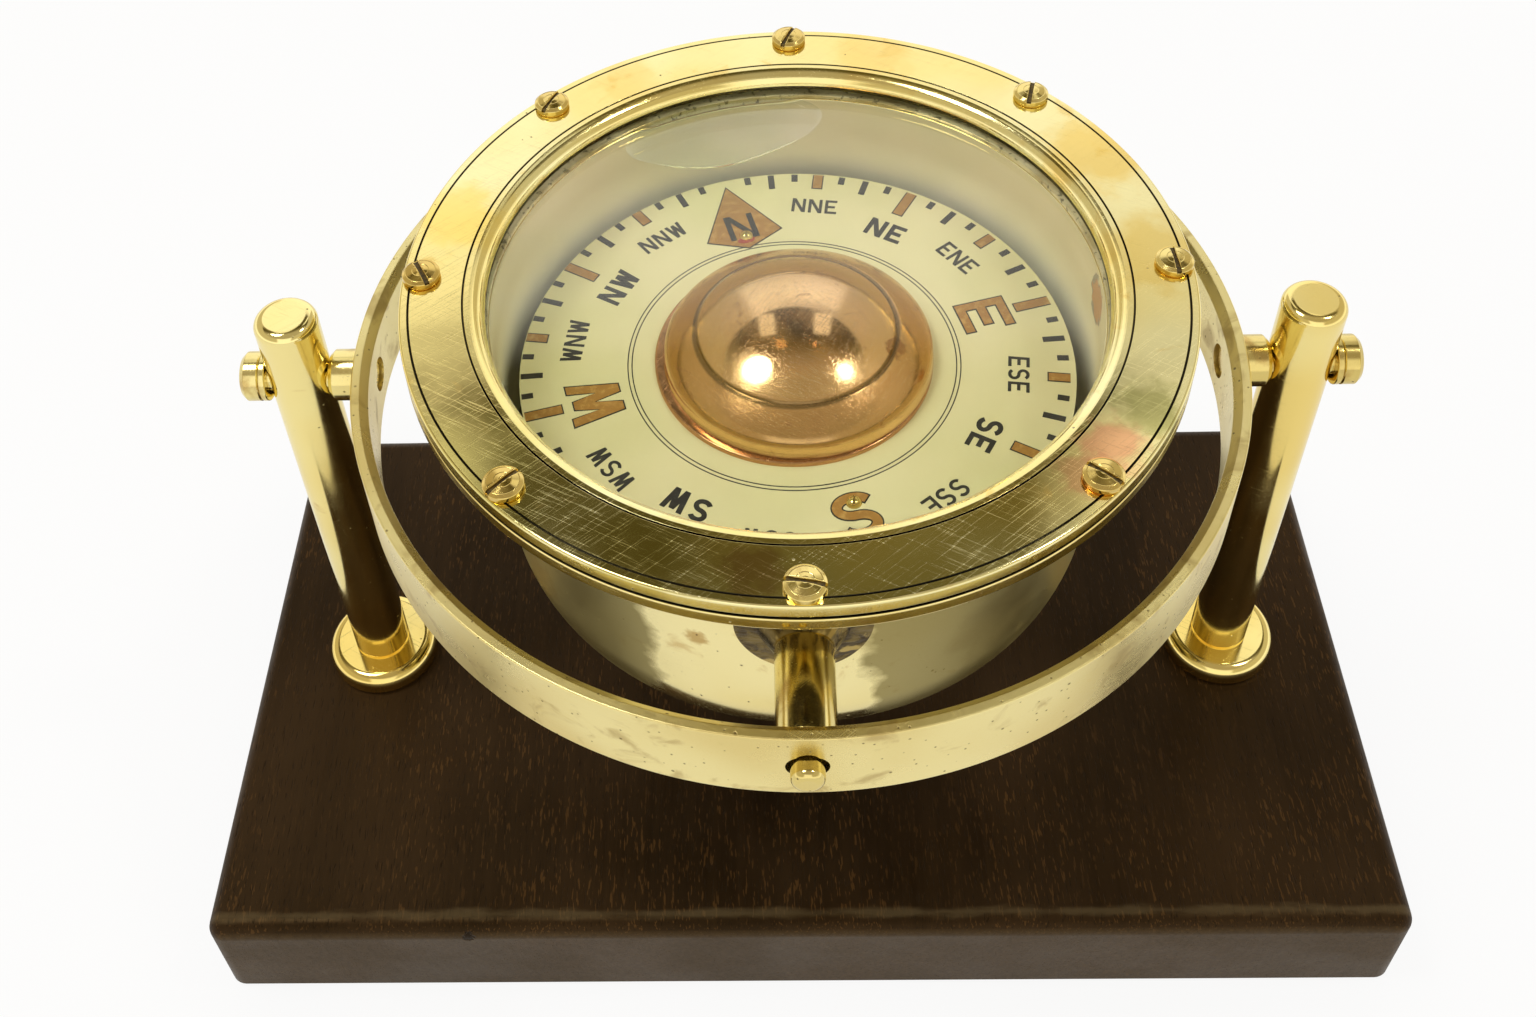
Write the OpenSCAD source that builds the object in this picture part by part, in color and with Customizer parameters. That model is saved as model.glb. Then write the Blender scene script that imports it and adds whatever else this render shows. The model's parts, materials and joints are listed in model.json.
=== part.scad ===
// Magnetic compass: a liquid-filled bowl hung in a gimbal ring between two posts on a wooden board.
// The origin is on the surface that the board stands on, straight below the point where the
// two gimbal axes cross. X runs along the posts, Y away from the front pivot, Z up.

/* [Bowl] */
// Clear space between the card's edge and the bowl's wall
card_gap = 4; // [2.5:0.5:7]
// Thickness of the bowl's wall and floor
bowl_wall = 2.2; // [1.6:0.2:3]
// Depth from the gimbal axes down to the underside of the bowl
bowl_depth = 52; // [48:1:60]
// Outside rounding between the bowl's wall and its floor
bowl_round = 24; // [16:1:28]
// Width of the flange that stands out round the bowl
rim_w = 15.5; // [14:0.5:20]
// Thickness of the flange at its rim
flange_t = 3.2; // [2.6:0.2:4.4]
// Thickness of the collar that the bowl's wall is soldered into
collar_wall = 5; // [4:0.5:7]
// How far the collar covers the top of the bowl's wall
collar_lap = 3.6; // [3:0.2:5]
// Thickness of the ledge that the window sits on
ledge_t = 2.8; // [2:0.2:4]

/* [Bezel and window] */
// Height from the gimbal axes to the top face of the bezel
bezel_rise = 30; // [28:0.5:36]
// Thickness of the bezel
bezel_t = 3.2; // [2.6:0.2:4]
// Rounding of the bezel's inner edge
bezel_round = 2.4; // [1:0.2:2.6]
// Distance of the fine scribed line from the bezel's rim
scribe_in = 2; // [1.5:0.5:3]
// Width of the land between the window and the turned groove
bead_w = 4; // [3:0.5:5]
// Open gap between the flange and the bezel when the screws are tight
clamp_gap = 0.6; // [0.4:0.1:1]
// Thickness of the window glass
glass_t = 3; // [2:0.5:4]
// How far the glass reaches under the bezel
glass_lap = 4.6; // [3.5:0.2:5]
// Thickness of the gasket over the glass
top_gasket_t = 1.2; // [0.8:0.1:1.6]
// Thickness of the gasket under the glass
low_gasket_t = 0.9; // [0.6:0.1:1.4]

/* [Bezel screws] */
// Number of screws that clamp the bezel
screw_count = 8; // [6:1:8]
// Diameter of the round screw heads
head_d = 7.9; // [6:0.1:8]
// Height of the round screw heads
head_h = 2.7; // [2:0.1:3.2]
// Diameter of the screw shanks
shank_d = 3.5; // [3:0.1:4]
// Width of the screwdriver slots
slot_w = 1; // [0.8:0.1:1.2]
// Depth of the screwdriver slots
slot_depth = 1.1; // [0.8:0.1:1.3]
// Distance from the bezel's rim to the middle of each screw
screw_in = 4.2; // [4.1:0.1:5]

/* [Gimbal ring and pivots] */
// Height of the gimbal ring
ring_h = 18.8; // [16:0.4:24]
// Thickness of the gimbal ring
ring_wall = 3.6; // [3:0.2:5]
// Bevel along the ring's inner edges
ring_bevel = 1.7; // [1:0.1:2]
// Clear space between the ring and the bowl's rim as it swings through
swing_gap = 3.8; // [2:0.2:6]
// Diameter of the bowl's trunnion bosses
boss_d = 11.5; // [10:0.5:14]
// Diameter of the trunnion pins that rest in the ring
trunnion_d = 6.4; // [5:0.2:7]
// How far the ring's front and back holes are worn out to each side of the pins
hole_wear = 0.8; // [0.4:0.1:1]
// Diameter of the small notch over each of those holes
notch_d = 5; // [4:0.5:6]
// How far the notch reaches above the hole
notch_rise = 0.9; // [0.4:0.1:1.2]
// How far a trunnion's ball end stands out past the ring
ball_out = 3.7; // [3.6:0.1:5]
// Radius of the soldered saddle round each boss
saddle_r = 13.5; // [11:0.5:13.5]
// Thickness of the saddle on the wall
saddle_t = 0.5; // [0.4:0.1:1]
// Height of the solder fillet at the foot of each boss
fillet_h = 4.5; // [3:0.5:6]
// Diameter of the post pivot pins
pin_d = 6.4; // [5:0.2:7]
// Depth of the recess round each pivot pin on the ring's inner face
pin_recess = 1.2; // [0.8:0.1:1.5]
// Diameter of that recess
pin_recess_d = 7.6; // [7.4:0.1:9]

/* [Posts] */
// Diameter of the posts
post_d = 13.8; // [12:0.2:16]
// Height of the posts above the pivot axis
post_over = 19; // [14:1:26]
// Rounding of the top edge of the posts
post_round = 2.4; // [1:0.2:3]
// Diameter of the foot discs
foot_d = 28; // [24:1:34]
// Thickness of the foot discs
foot_t = 6; // [5:0.5:8]
// Rounding of the foot discs' top edge
foot_round = 3; // [1:0.5:4]
// Diameter of the spigot that passes through each foot
spigot_d = 10; // [9:0.5:11]
// Length of the collar between the ring and each post
spacer_l = 6.5; // [5:0.5:9]
// Diameter of that collar
spacer_d = 11.4; // [10:0.2:12]
// Bevel at the collar's post end and the knob's outer end
turn_bevel = 1; // [0.5:0.1:1.4]
// Diameter of the knob on each pivot pin
knob_d = 11; // [9:0.5:14]
// Length of the knob on each pivot pin
knob_l = 4.2; // [3:0.2:6]
// Thickness of the washer under each knob
washer_t = 1.5; // [1:0.1:2]

/* [Board] */
// Thickness of the board
board_t = 28.5; // [24:0.5:34]
// Depth of the board from front to back
board_d = 148.5; // [130:0.5:170]
// Width of board outside the foot discs
board_margin = 17.6; // [12:0.1:30]
// How far the posts stand behind the middle of the board
post_back = 2.5; // [0:0.5:6]
// Rounding of the board's top edges and upright corners
board_round = 4; // [2:0.5:6]
// Clear space between the board and the swinging ring
board_gap = 9.9; // [6:0.1:20]
// Diameter of the screws that hold the posts down
hold_d = 6; // [5:0.5:7]
// Length of thread inside each post
hold_grip = 18; // [12:1:22]
// Depth of the counterbores under the board
counterbore = 9; // [8:0.5:12]
// Diameter of the washers in the counterbores
hold_washer_d = 16; // [14:1:18]

/* [Card and float] */
// Diameter of the compass card
card_d = 120.6; // [110:0.2:121]
// Thickness of the compass card
card_t = 0.8; // [0.6:0.1:1.2]
// Height of the card's face above the gimbal axes
card_rise = 1.5; // [0:0.1:3]
// How far the card stands turned from the fore and aft line
card_turn = 15.5; // [0:0.5:45]
// Diameter of the float's dome at the card
dome_d = 60.8; // [56:0.4:64]
// Height of the dome up to the seam under its cap
dome_h = 9.6; // [8:0.1:11]
// Height of the dome's upright skirt, under the curve of its shoulder
skirt_h = 3.5; // [2:0.1:5]
// Diameter of the raised cap on the dome
cap_d = 43.2; // [38:0.2:44]
// Height of the raised cap
cap_h = 6.4; // [4:0.2:7]
// Thickness of the float's sheet metal
sheet_t = 0.6; // [0.5:0.1:0.8]
// Diameter of the float under the card
under_d = 48; // [44:1:49]
// Depth of the float under the card's face
under_h = 11.6; // [8:0.2:14]
// Diameter of the tunnel up the middle of the float
tunnel_d = 12; // [11:0.5:14]
// Height of the jewel's seat above the card's face
seat_rise = 6; // [5:0.5:7]
// Length of each magnet
magnet_l = 74; // [70:1:78]
// Width of each magnet
magnet_w = 5; // [4:0.5:6]
// Height of each magnet
magnet_h = 5; // [4:0.5:6]
// Thickness of the cross straps that carry the magnets
strap_t = 1.2; // [0.8:0.1:1.6]
// Width of the cross straps
strap_w = 10; // [8:0.5:12]
// Distance of the two card screws from the middle of the card
card_screw_at = 40.4; // [39:0.1:42]

/* [Inside the bowl] */
// Diameter of the stem that carries the pivot point
stem_d = 6.4; // [5:0.2:8]
// Diameter of the stem's foot
stem_foot_d = 18; // [14:1:24]
// Diameter of the steel pivot point
needle_d = 1.6; // [1.2:0.1:2]
// Length of the pivot point above the stem
needle_out = 14; // [10:0.5:18]
// Distance of the ballast ring from the rounding at the foot of the wall
ballast_in = 2.5; // [1:0.5:8]
// Inner diameter of the ballast ring
ballast_hole = 48; // [46:1:52]
// Height of the ballast ring
ballast_h = 10; // [7:0.5:12]
// Outer diameter of the diaphragm and of its cover
cover_d = 66; // [62:1:67]
// Depth of the cover under the diaphragm
cover_h = 8; // [7:0.5:12]
// Number of screws that hold the cover
cover_screw_count = 6; // [4:1:8]

/* [Hidden] */

$fn = 96;
tiny = 0.01;
LEFT = -1;
RIGHT = 1;
FRONT = -1;
BACK = 1;

// Clearances: threads and soldered joints, running pivots, and plain gaps
thread_gap = 0.05;
run_gap = 0.06;
plain_gap = 0.3;

// Bowl radii, and heights above the gimbal axes
bowl_in = card_d / 2 + card_gap;
bowl_r = bowl_in + bowl_wall;
floor_r = bowl_r - bowl_round;
window_r = bowl_in + 0.2;
glass_r = window_r + glass_lap;
bezel_lip = 1.6;
recess_r = glass_r + plain_gap;
rim_r = bowl_r + rim_w;
flange_top = bezel_rise - bezel_t - clamp_gap;
flange_low = flange_top - flange_t;
glass_top = bezel_rise - bezel_t - top_gasket_t;
seat_z = glass_top - glass_t - low_gasket_t;
shell_top = seat_z - ledge_t;
collar_low = shell_top - collar_lap;
collar_r = recess_r + 0.6 * collar_wall;
floor_z = bowl_wall - bowl_depth;

// Bezel screws: one at the front, the rest evenly round the rim, each slot left as it was tightened
screw_r = rim_r - screw_in;
slot_angles = [-11, -39, -87, 76, 67, 65, -62, 45];
groove_w = 0.8;
groove_depth = 0.6;
scribe_w = 0.35;

// Ring and pivots
swing_r = norm([screw_r + head_d / 2, bezel_rise + head_h]);
ring_in = swing_r + swing_gap;
ring_out = ring_in + ring_wall;
boss_gap = 0.8;
boss_end = ring_in - boss_gap;
trunnion_r = trunnion_d / 2;
ball_at = ring_out + ball_out - trunnion_r;
hole_r = trunnion_r + run_gap;
pin_r = pin_d / 2;
pin_end = ring_in + pin_recess - 0.5;
spacer_in = ring_out + plain_gap;

// Stand
post_r = post_d / 2;
post_x = spacer_in + spacer_l + post_r;
knob_in = post_x + post_r + washer_t;
foot_r = foot_d / 2;
board_w = 2 * (post_x + foot_r + board_margin);
axis_z = board_t + ring_out + ball_out + board_gap;
post_top = axis_z + post_over;
hold_washer_t = 1.5;
hold_head_h = 4;
hold_head_d = 1.7 * hold_d;

// Card and float, heights above the card's face
dome_r = dome_d / 2;
cap_r = cap_d / 2;
lip_t = 1.1;
dome_steps = 12;
skirt_r = dome_r - 1.3;
cap_sphere = (cap_r * cap_r + cap_h * cap_h) / (2 * cap_h);
cap_seat_r = cap_r - 2;
under_r = under_d / 2;
tunnel_r = tunnel_d / 2;
lip_r = skirt_r - sheet_t - 2 * plain_gap;
magnet_x = under_r + 1 + magnet_w / 2;
card_screw_d = 1.8;
card_screw_head_d = 3.4;
card_screw_head_h = 1.1;
card_slot_w = 0.5;
card_slot_depth = 0.5;
card_slot_angle = 70;
jewel_h = 3.4;
jewel_tip = 1.2;
point_z = card_rise + seat_rise - jewel_tip - run_gap;
stem_top = point_z - needle_out;
stem_foot_t = 2;
needle_in = 6;

// Diaphragm and cover
diaphragm_t = 0.5;
cover_rim_t = 1.5;
cover_r = cover_d / 2;
cover_step = 7;
cover_screw_r = cover_r - (cover_step - cover_rim_t) / 2;
cover_screw_d = 2.5;
cover_head_d = 4.6;
cover_head_h = 1.4;
cover_slot_w = 0.8;
cover_slot_depth = 0.6;
port_r = 18;
port_d = 5;
vent_d = 3;
plug_d = 4;
plug_head_d = 6.8;
plug_head_h = 2;
plug_r = cover_r + 1.2 + plug_head_d / 2;

// The outline of a turned rod whose top edge is rounded, drawn beside its axis
module rod_profile(r, h, edge) {
    square([r, h - edge]);
    square([r - edge, h]);
    translate([r - edge, h - edge])
        intersection() {
            circle(edge);
            square(edge);
        }
}

// A rod along X between two distances from the middle, on the left or right side
module rod_x(side, from, to, r) {
    rotate([0, 90, 0])
        translate([0, 0, side > 0 ? from : -to])
            cylinder(h = to - from, r = r);
}

// A rod along Y between two distances from the middle, at the front or back
module rod_y(side, from, to, r) {
    rotate([-90, 0, 0])
        translate([0, 0, side > 0 ? from : -to])
            cylinder(h = to - from, r = r);
}

// A short turned disc along X with a bevel at its outer end
module bevelled_x(side, from, to, r, bevel) {
    rod_x(side, from, to - bevel, r);
    translate([side * (to - bevel), 0, 0])
        rotate([0, side * 90, 0])
            cylinder(h = bevel, r1 = r, r2 = r - bevel);
}

// Places its children at the point where the gimbal axes cross
module at_pivots() {
    translate([0, 0, axis_z])
        children();
}

// Places its children on the card, turned with it
module on_card() {
    translate([0, 0, axis_z + card_rise])
        rotate([0, 0, card_turn])
            children();
}

module board_outline() {
    for (x = [-1, 1], y = [-1, 1])
        translate([x * (board_w / 2 - board_round), y * (board_d / 2 - board_round)])
            circle(board_round);
    square([board_w, board_d - 2 * board_round], center = true);
    square([board_w - 2 * board_round, board_d], center = true);
}

module board_block() {
    flat_w = board_w - 2 * board_round;
    flat_d = board_d - 2 * board_round;
    edge_z = board_t - board_round;
    linear_extrude(edge_z)
        board_outline();
    translate([-flat_w / 2, -flat_d / 2, 0])
        cube([flat_w, flat_d, board_t]);
    for (x = [-1, 1]) {
        translate([x * flat_w / 2, -flat_d / 2, edge_z])
            rotate([-90, 0, 0])
                cylinder(h = flat_d, r = board_round);
        for (y = [-1, 1])
            translate([x * flat_w / 2, y * flat_d / 2, edge_z])
                sphere(board_round);
    }
    for (y = [-1, 1])
        translate([-flat_w / 2, y * flat_d / 2, edge_z])
            rotate([0, 90, 0])
                cylinder(h = flat_w, r = board_round);
}

module base_board() {
    color("#3b2b20")
        difference() {
            translate([0, -post_back, 0])
                board_block();
            for (side = [LEFT, RIGHT])
                translate([side * post_x, 0, 0]) {
                    translate([0, 0, -1])
                        cylinder(h = board_t + 2, d = hold_d + 2 * plain_gap);
                    translate([0, 0, -1])
                        cylinder(h = counterbore + 1, d = hold_washer_d + 4 * plain_gap);
                }
        }
}

module post(side) {
    foot_top = board_t + foot_t;
    color("#d9b95a")
        difference() {
            translate([side * post_x, 0, board_t]) {
                cylinder(h = foot_t + tiny, d = spigot_d);
                translate([0, 0, foot_t])
                    rotate_extrude()
                        rod_profile(post_r, post_top - foot_top, post_round);
            }
            translate([side * post_x, 0, board_t - 1])
                cylinder(h = hold_grip + 2, d = hold_d + 2 * thread_gap);
            at_pivots()
                rod_x(side, post_x - post_d, post_x + post_d, pin_r + thread_gap);
        }
}

module post_foot(side) {
    color("#d2ae4e")
        translate([side * post_x, 0, board_t])
            difference() {
                rotate_extrude()
                    rod_profile(foot_r, foot_t, foot_round);
                translate([0, 0, -1])
                    cylinder(h = foot_t + 2, d = spigot_d + 2 * thread_gap);
            }
}

module hold_down_screws() {
    head_top = counterbore - hold_washer_t;
    color("#b8b8b8")
        for (side = [LEFT, RIGHT])
            translate([side * post_x, 0, 0]) {
                translate([0, 0, head_top - tiny])
                    cylinder(h = board_t + hold_grip - head_top, d = hold_d);
                difference() {
                    translate([0, 0, head_top - hold_head_h])
                        cylinder(h = hold_head_h, d = hold_head_d);
                    translate([-hold_head_d, -slot_w, head_top - hold_head_h - 1])
                        cube([2 * hold_head_d, 2 * slot_w, slot_depth + 1]);
                }
            }
}

module hold_down_washers() {
    color("#c9c9c9")
        for (side = [LEFT, RIGHT])
            translate([side * post_x, 0, counterbore - hold_washer_t])
                difference() {
                    cylinder(h = hold_washer_t, d = hold_washer_d);
                    translate([0, 0, -1])
                        cylinder(h = hold_washer_t + 2, d = hold_d + plain_gap);
                }
}

module pivot_pin(side) {
    color("#cfa94a")
        at_pivots() {
            rod_x(side, pin_end, knob_in + tiny, pin_r);
            bevelled_x(side, knob_in, knob_in + knob_l, knob_d / 2, turn_bevel);
        }
}

module pivot_washers() {
    color("#b99a45")
        at_pivots()
            for (side = [LEFT, RIGHT])
                difference() {
                    rod_x(side, knob_in - washer_t, knob_in, knob_d / 2);
                    rod_x(side, knob_in - 2 * washer_t, knob_in + washer_t, pin_r + thread_gap);
                }
}

module pivot_collar(side) {
    color("#dcc067")
        at_pivots()
            difference() {
                bevelled_x(side, spacer_in, spacer_in + spacer_l, spacer_d / 2, turn_bevel);
                rod_x(side, spacer_in - 1, spacer_in + spacer_l + 1, pin_r + thread_gap);
            }
}

module ring_profile() {
    half = ring_h / 2;
    polygon([[ring_in, ring_bevel - half], [ring_in + ring_bevel, -half], [ring_out, -half],
        [ring_out, half], [ring_in + ring_bevel, half], [ring_in, half - ring_bevel]]);
}

module gimbal_ring() {
    color("#d8bd62")
        at_pivots()
            difference() {
                rotate_extrude()
                    ring_profile();
                for (side = [LEFT, RIGHT]) {
                    rod_x(side, ring_in - 2, ring_out + 2, pin_r + run_gap);
                    rod_x(side, ring_in - 2, ring_in + pin_recess, pin_recess_d / 2);
                }
                for (side = [FRONT, BACK]) {
                    for (x = [-hole_wear, hole_wear])
                        translate([x, 0, 0])
                            rod_y(side, ring_in - 2, ring_out + 2, hole_r);
                    translate([-hole_wear, side * ring_out - ring_wall - 2, -hole_r])
                        cube([2 * hole_wear, 2 * ring_wall + 4, 2 * hole_r]);
                    translate([0, 0, hole_r + notch_rise - notch_d / 2])
                        rod_y(side, ring_in - 2, ring_out + 2, notch_d / 2);
                }
            }
}

// The outline of a round-bottomed cup, drawn beside its axis and measured from the gimbal axes
module cup_profile(r, low, high, edge) {
    translate([0, low + edge])
        square([r, high - low - edge]);
    translate([0, low])
        square([r - edge, high - low]);
    translate([r - edge, low + edge])
        circle(edge);
}

module bowl_shell() {
    color("#d9be68")
        at_pivots()
            difference() {
                rotate_extrude()
                    difference() {
                        cup_profile(bowl_r, -bowl_depth, shell_top, bowl_round);
                        cup_profile(bowl_in, floor_z, shell_top + 1, bowl_round - bowl_wall);
                    }
                for (i = [0:3])
                    rotate([0, 0, 45 + 90 * i])
                        translate([port_r, 0, -bowl_depth - 1])
                            cylinder(h = bowl_wall + 2, d = port_d);
                for (i = [0:cover_screw_count - 1])
                    rotate([0, 0, 360 * i / cover_screw_count])
                        translate([cover_screw_r, 0, -bowl_depth - 1])
                            cylinder(h = bowl_wall + 2, d = cover_screw_d + 2 * thread_gap);
                translate([0, plug_r, -bowl_depth - 1])
                    cylinder(h = bowl_wall + 2, d = plug_d + 2 * thread_gap);
            }
}

module flange_profile() {
    difference() {
        union() {
            translate([window_r - 0.2, flange_low])
                square([rim_r - window_r + 0.2, flange_t]);
            translate([window_r - 0.2, collar_low])
                square([collar_r - window_r + 0.2, flange_top - collar_low]);
        }
        translate([0, seat_z])
            square([recess_r, flange_top]);
        translate([0, collar_low - 1])
            square([bowl_r + thread_gap, collar_lap + 1]);
    }
}

module rim_screw_places() {
    for (i = [0:screw_count - 1])
        rotate([0, 0, 360 * i / screw_count - 90])
            translate([screw_r, 0, 0])
                rotate([0, 0, 90 - 360 * i / screw_count])
                    children();
}

module bowl_flange() {
    color("#cfae52")
        at_pivots()
            difference() {
                rotate_extrude()
                    flange_profile();
                translate([0, 0, flange_low - 1])
                    rim_screw_places()
                        cylinder(h = flange_t + 2, d = shank_d + 2 * thread_gap);
            }
}

module trunnion(side) {
    color("#cfae52")
        at_pivots()
            difference() {
                union() {
                    rod_y(side, bowl_r - 3, boss_end, boss_d / 2);
                    rod_y(side, boss_end - 1, ball_at, trunnion_r);
                    translate([0, side * ball_at, 0])
                        sphere(trunnion_r);
                }
                cylinder(h = 2 * boss_d, r = bowl_r, center = true);
            }
}

module trunnion_saddle(side) {
    color("#77746c")
        at_pivots()
            difference() {
                union() {
                    intersection() {
                        rod_y(side, bowl_r / 2, bowl_r + 2, saddle_r);
                        cylinder(h = 3 * saddle_r, r = bowl_r + saddle_t, center = true);
                    }
                    rotate([-90 * side, 0, 0])
                        translate([0, 0, bowl_r - 2])
                            cylinder(h = fillet_h + 2, r1 = boss_d / 2 + fillet_h, r2 = boss_d / 2 + 0.2);
                }
                cylinder(h = 4 * saddle_r, r = bowl_r, center = true);
                rod_y(side, bowl_r / 3, bowl_r + 3 * fillet_h, boss_d / 2);
            }
}

// A flat ring about the bowl's axis, standing on a height above the gimbal axes
module flat_ring(inner, outer, low, t) {
    at_pivots()
        translate([0, 0, low])
            difference() {
                cylinder(h = t, r = outer);
                translate([0, 0, -1])
                    cylinder(h = t + 2, r = inner);
            }
}

module glass_gasket_lower() {
    color("#2c2a26")
        flat_ring(window_r, glass_r, seat_z, low_gasket_t);
}

module window_glass() {
    color("#dfeee8", 0.35)
        at_pivots()
            translate([0, 0, glass_top - glass_t])
                cylinder(h = glass_t, r = glass_r);
}

module glass_gasket_upper() {
    color("#2c2a26")
        flat_ring(window_r + bezel_lip + plain_gap, glass_r, glass_top, top_gasket_t);
}

module bezel_profile() {
    low = bezel_rise - bezel_t;
    difference() {
        union() {
            translate([window_r, low])
                square([rim_r - window_r, bezel_t - bezel_round]);
            translate([window_r + bezel_round, low])
                square([rim_r - window_r - bezel_round, bezel_t]);
            translate([window_r + bezel_round, bezel_rise - bezel_round])
                intersection() {
                    circle(bezel_round);
                    translate([-bezel_round, 0])
                        square(bezel_round);
                }
            translate([window_r, glass_top + plain_gap])
                square([bezel_lip, bezel_rise - bezel_round - glass_top - plain_gap]);
        }
        translate([window_r + bead_w, bezel_rise - groove_depth])
            square([groove_w, 1]);
        translate([rim_r - scribe_in, bezel_rise - scribe_w])
            square([scribe_w, 1]);
    }
}

module bezel_ring() {
    color("#dcc164")
        at_pivots()
            difference() {
                rotate_extrude()
                    bezel_profile();
                translate([0, 0, bezel_rise - bezel_t - 1])
                    rim_screw_places()
                        cylinder(h = bezel_t + 2, d = shank_d + plain_gap);
            }
}

// A round screw head on the level z = 0, with its slot turned by an angle
module round_head(d, h, slot, depth, angle) {
    r = (d * d / 4 + h * h) / (2 * h);
    difference() {
        intersection() {
            translate([0, 0, h - r])
                sphere(r);
            cylinder(h = h + 1, d = d);
        }
        rotate([0, 0, angle])
            translate([-d, -slot / 2, h - depth])
                cube([2 * d, slot, depth + 1]);
    }
}

module bezel_screws() {
    color("#c8a650")
        at_pivots()
            for (i = [0:screw_count - 1])
                rotate([0, 0, 360 * i / screw_count - 90])
                    translate([screw_r, 0, bezel_rise])
                        rotate([0, 0, 90 - 360 * i / screw_count]) {
                            translate([0, 0, flange_low - bezel_rise])
                                cylinder(h = bezel_rise - flange_low + tiny, d = shank_d);
                            round_head(head_d, head_h, slot_w, slot_depth, slot_angles[i]);
                        }
}

module ballast_ring() {
    color("#6f6f72")
        flat_ring(ballast_hole / 2, floor_r - ballast_in, floor_z, ballast_h);
}

module pivot_stem() {
    color("#cfae52")
        at_pivots()
            difference() {
                union() {
                    translate([0, 0, floor_z])
                        cylinder(h = stem_top - floor_z, d = stem_d);
                    translate([0, 0, floor_z])
                        cylinder(h = stem_foot_t, d = stem_foot_d);
                }
                translate([0, 0, stem_top - needle_in])
                    cylinder(h = needle_in + 1, d = needle_d + 2 * thread_gap);
            }
}

module pivot_point() {
    tip_h = 1.5 * needle_d;
    color("#9a9ca0")
        at_pivots() {
            translate([0, 0, stem_top - needle_in])
                cylinder(h = needle_in + needle_out - tip_h, d = needle_d);
            translate([0, 0, point_z - tip_h])
                cylinder(h = tip_h, r1 = needle_d / 2, r2 = 0.1);
        }
}

// A corrugated disc, clamped flat at its rim
module diaphragm_profile() {
    t = diaphragm_t;
    step = cover_r - cover_step;
    top = [[0, -2], [6, -2], [9, -3.2], [12, -2], [15, -3.2], [18, -2], [step - 3, -2], [step, 0], [cover_r, 0]];
    polygon(concat(top, [for (i = [len(top) - 1:-1:0]) [top[i][0], top[i][1] - t]]));
}

module diaphragm() {
    color("#b9974a")
        at_pivots()
            translate([0, 0, -bowl_depth])
                difference() {
                    rotate_extrude()
                        diaphragm_profile();
                    for (i = [0:cover_screw_count - 1])
                        rotate([0, 0, 360 * i / cover_screw_count])
                            translate([cover_screw_r, 0, -2])
                                cylinder(h = 4, d = cover_screw_d + plain_gap);
                }
}

module diaphragm_cover() {
    t = cover_rim_t;
    step = cover_r - cover_step;
    color("#c9a850")
        at_pivots()
            translate([0, 0, -bowl_depth - diaphragm_t])
                difference() {
                    rotate_extrude()
                        polygon([[step, 0], [cover_r, 0], [cover_r, -t], [step + t, -t], [step - 2 + t, -cover_h],
                            [0, -cover_h], [0, t - cover_h], [step - 2, t - cover_h]]);
                    translate([0, 0, -cover_h - 1])
                        cylinder(h = t + 2, d = vent_d);
                    for (i = [0:cover_screw_count - 1])
                        rotate([0, 0, 360 * i / cover_screw_count])
                            translate([cover_screw_r, 0, -t - 1])
                                cylinder(h = t + 2, d = cover_screw_d + plain_gap);
                }
}

module cover_screws() {
    head_top = -bowl_depth - diaphragm_t - cover_rim_t;
    color("#c8a650")
        at_pivots()
            for (i = [0:cover_screw_count - 1])
                rotate([0, 0, 360 * i / cover_screw_count])
                    translate([cover_screw_r, 0, head_top]) {
                        translate([0, 0, -tiny])
                            cylinder(h = floor_z - head_top + tiny, d = cover_screw_d);
                        difference() {
                            translate([0, 0, -cover_head_h])
                                cylinder(h = cover_head_h, d = cover_head_d);
                            translate([-cover_head_d, -cover_slot_w / 2, -cover_head_h - 1])
                                cube([2 * cover_head_d, cover_slot_w, 1 + cover_slot_depth]);
                        }
                    }
}

module filler_plug() {
    color("#c8a650")
        at_pivots()
            translate([0, plug_r, -bowl_depth]) {
                translate([0, 0, -tiny])
                    cylinder(h = bowl_wall + tiny, d = plug_d);
                difference() {
                    translate([0, 0, -plug_head_h])
                        cylinder(h = plug_head_h, d = plug_head_d);
                    translate([-plug_head_d, -slot_w / 2, -plug_head_h - 1])
                        cube([2 * plug_head_d, slot_w, 1 + slot_depth]);
                }
            }
}

module card_disc() {
    color("#d8d2a4")
        on_card()
            translate([0, 0, -card_t])
                difference() {
                    cylinder(h = card_t, d = card_d);
                    translate([0, 0, -1])
                        cylinder(h = card_t + 2, r = under_r + thread_gap);
                    for (y = [-1, 1])
                        translate([0, y * card_screw_at, -1])
                            cylinder(h = card_t + 2, d = card_screw_d + 2 * thread_gap);
                }
}

// Points along the dome's shoulder from its skirt to the seam, a quarter of an ellipse set in by the sheet
function shoulder(inwards) =
    [for (i = [0:dome_steps])
        let (a = 90 * i / dome_steps)
            [cap_r + (skirt_r - cap_r - inwards) * cos(a), skirt_h + (dome_h - skirt_h - inwards) * sin(a)]];

module float_dome() {
    outer = shoulder(0);
    inner = shoulder(sheet_t);
    color("#c8864e")
        on_card()
            rotate_extrude()
                polygon(concat([[inner[0][0], 0], [dome_r, 0], [dome_r, lip_t], [skirt_r, lip_t]], outer,
                    [[cap_seat_r, dome_h], [cap_seat_r, dome_h - sheet_t]],
                    [for (i = [dome_steps:-1:0]) inner[i]]));
}

module float_cap() {
    color("#cf9058")
        on_card()
            translate([0, 0, dome_h])
                intersection() {
                    difference() {
                        translate([0, 0, cap_h - cap_sphere])
                            sphere(cap_sphere);
                        translate([0, 0, cap_h - cap_sphere])
                            sphere(cap_sphere - sheet_t);
                    }
                    cylinder(h = cap_h + 1, r = cap_r);
                }
}

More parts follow.
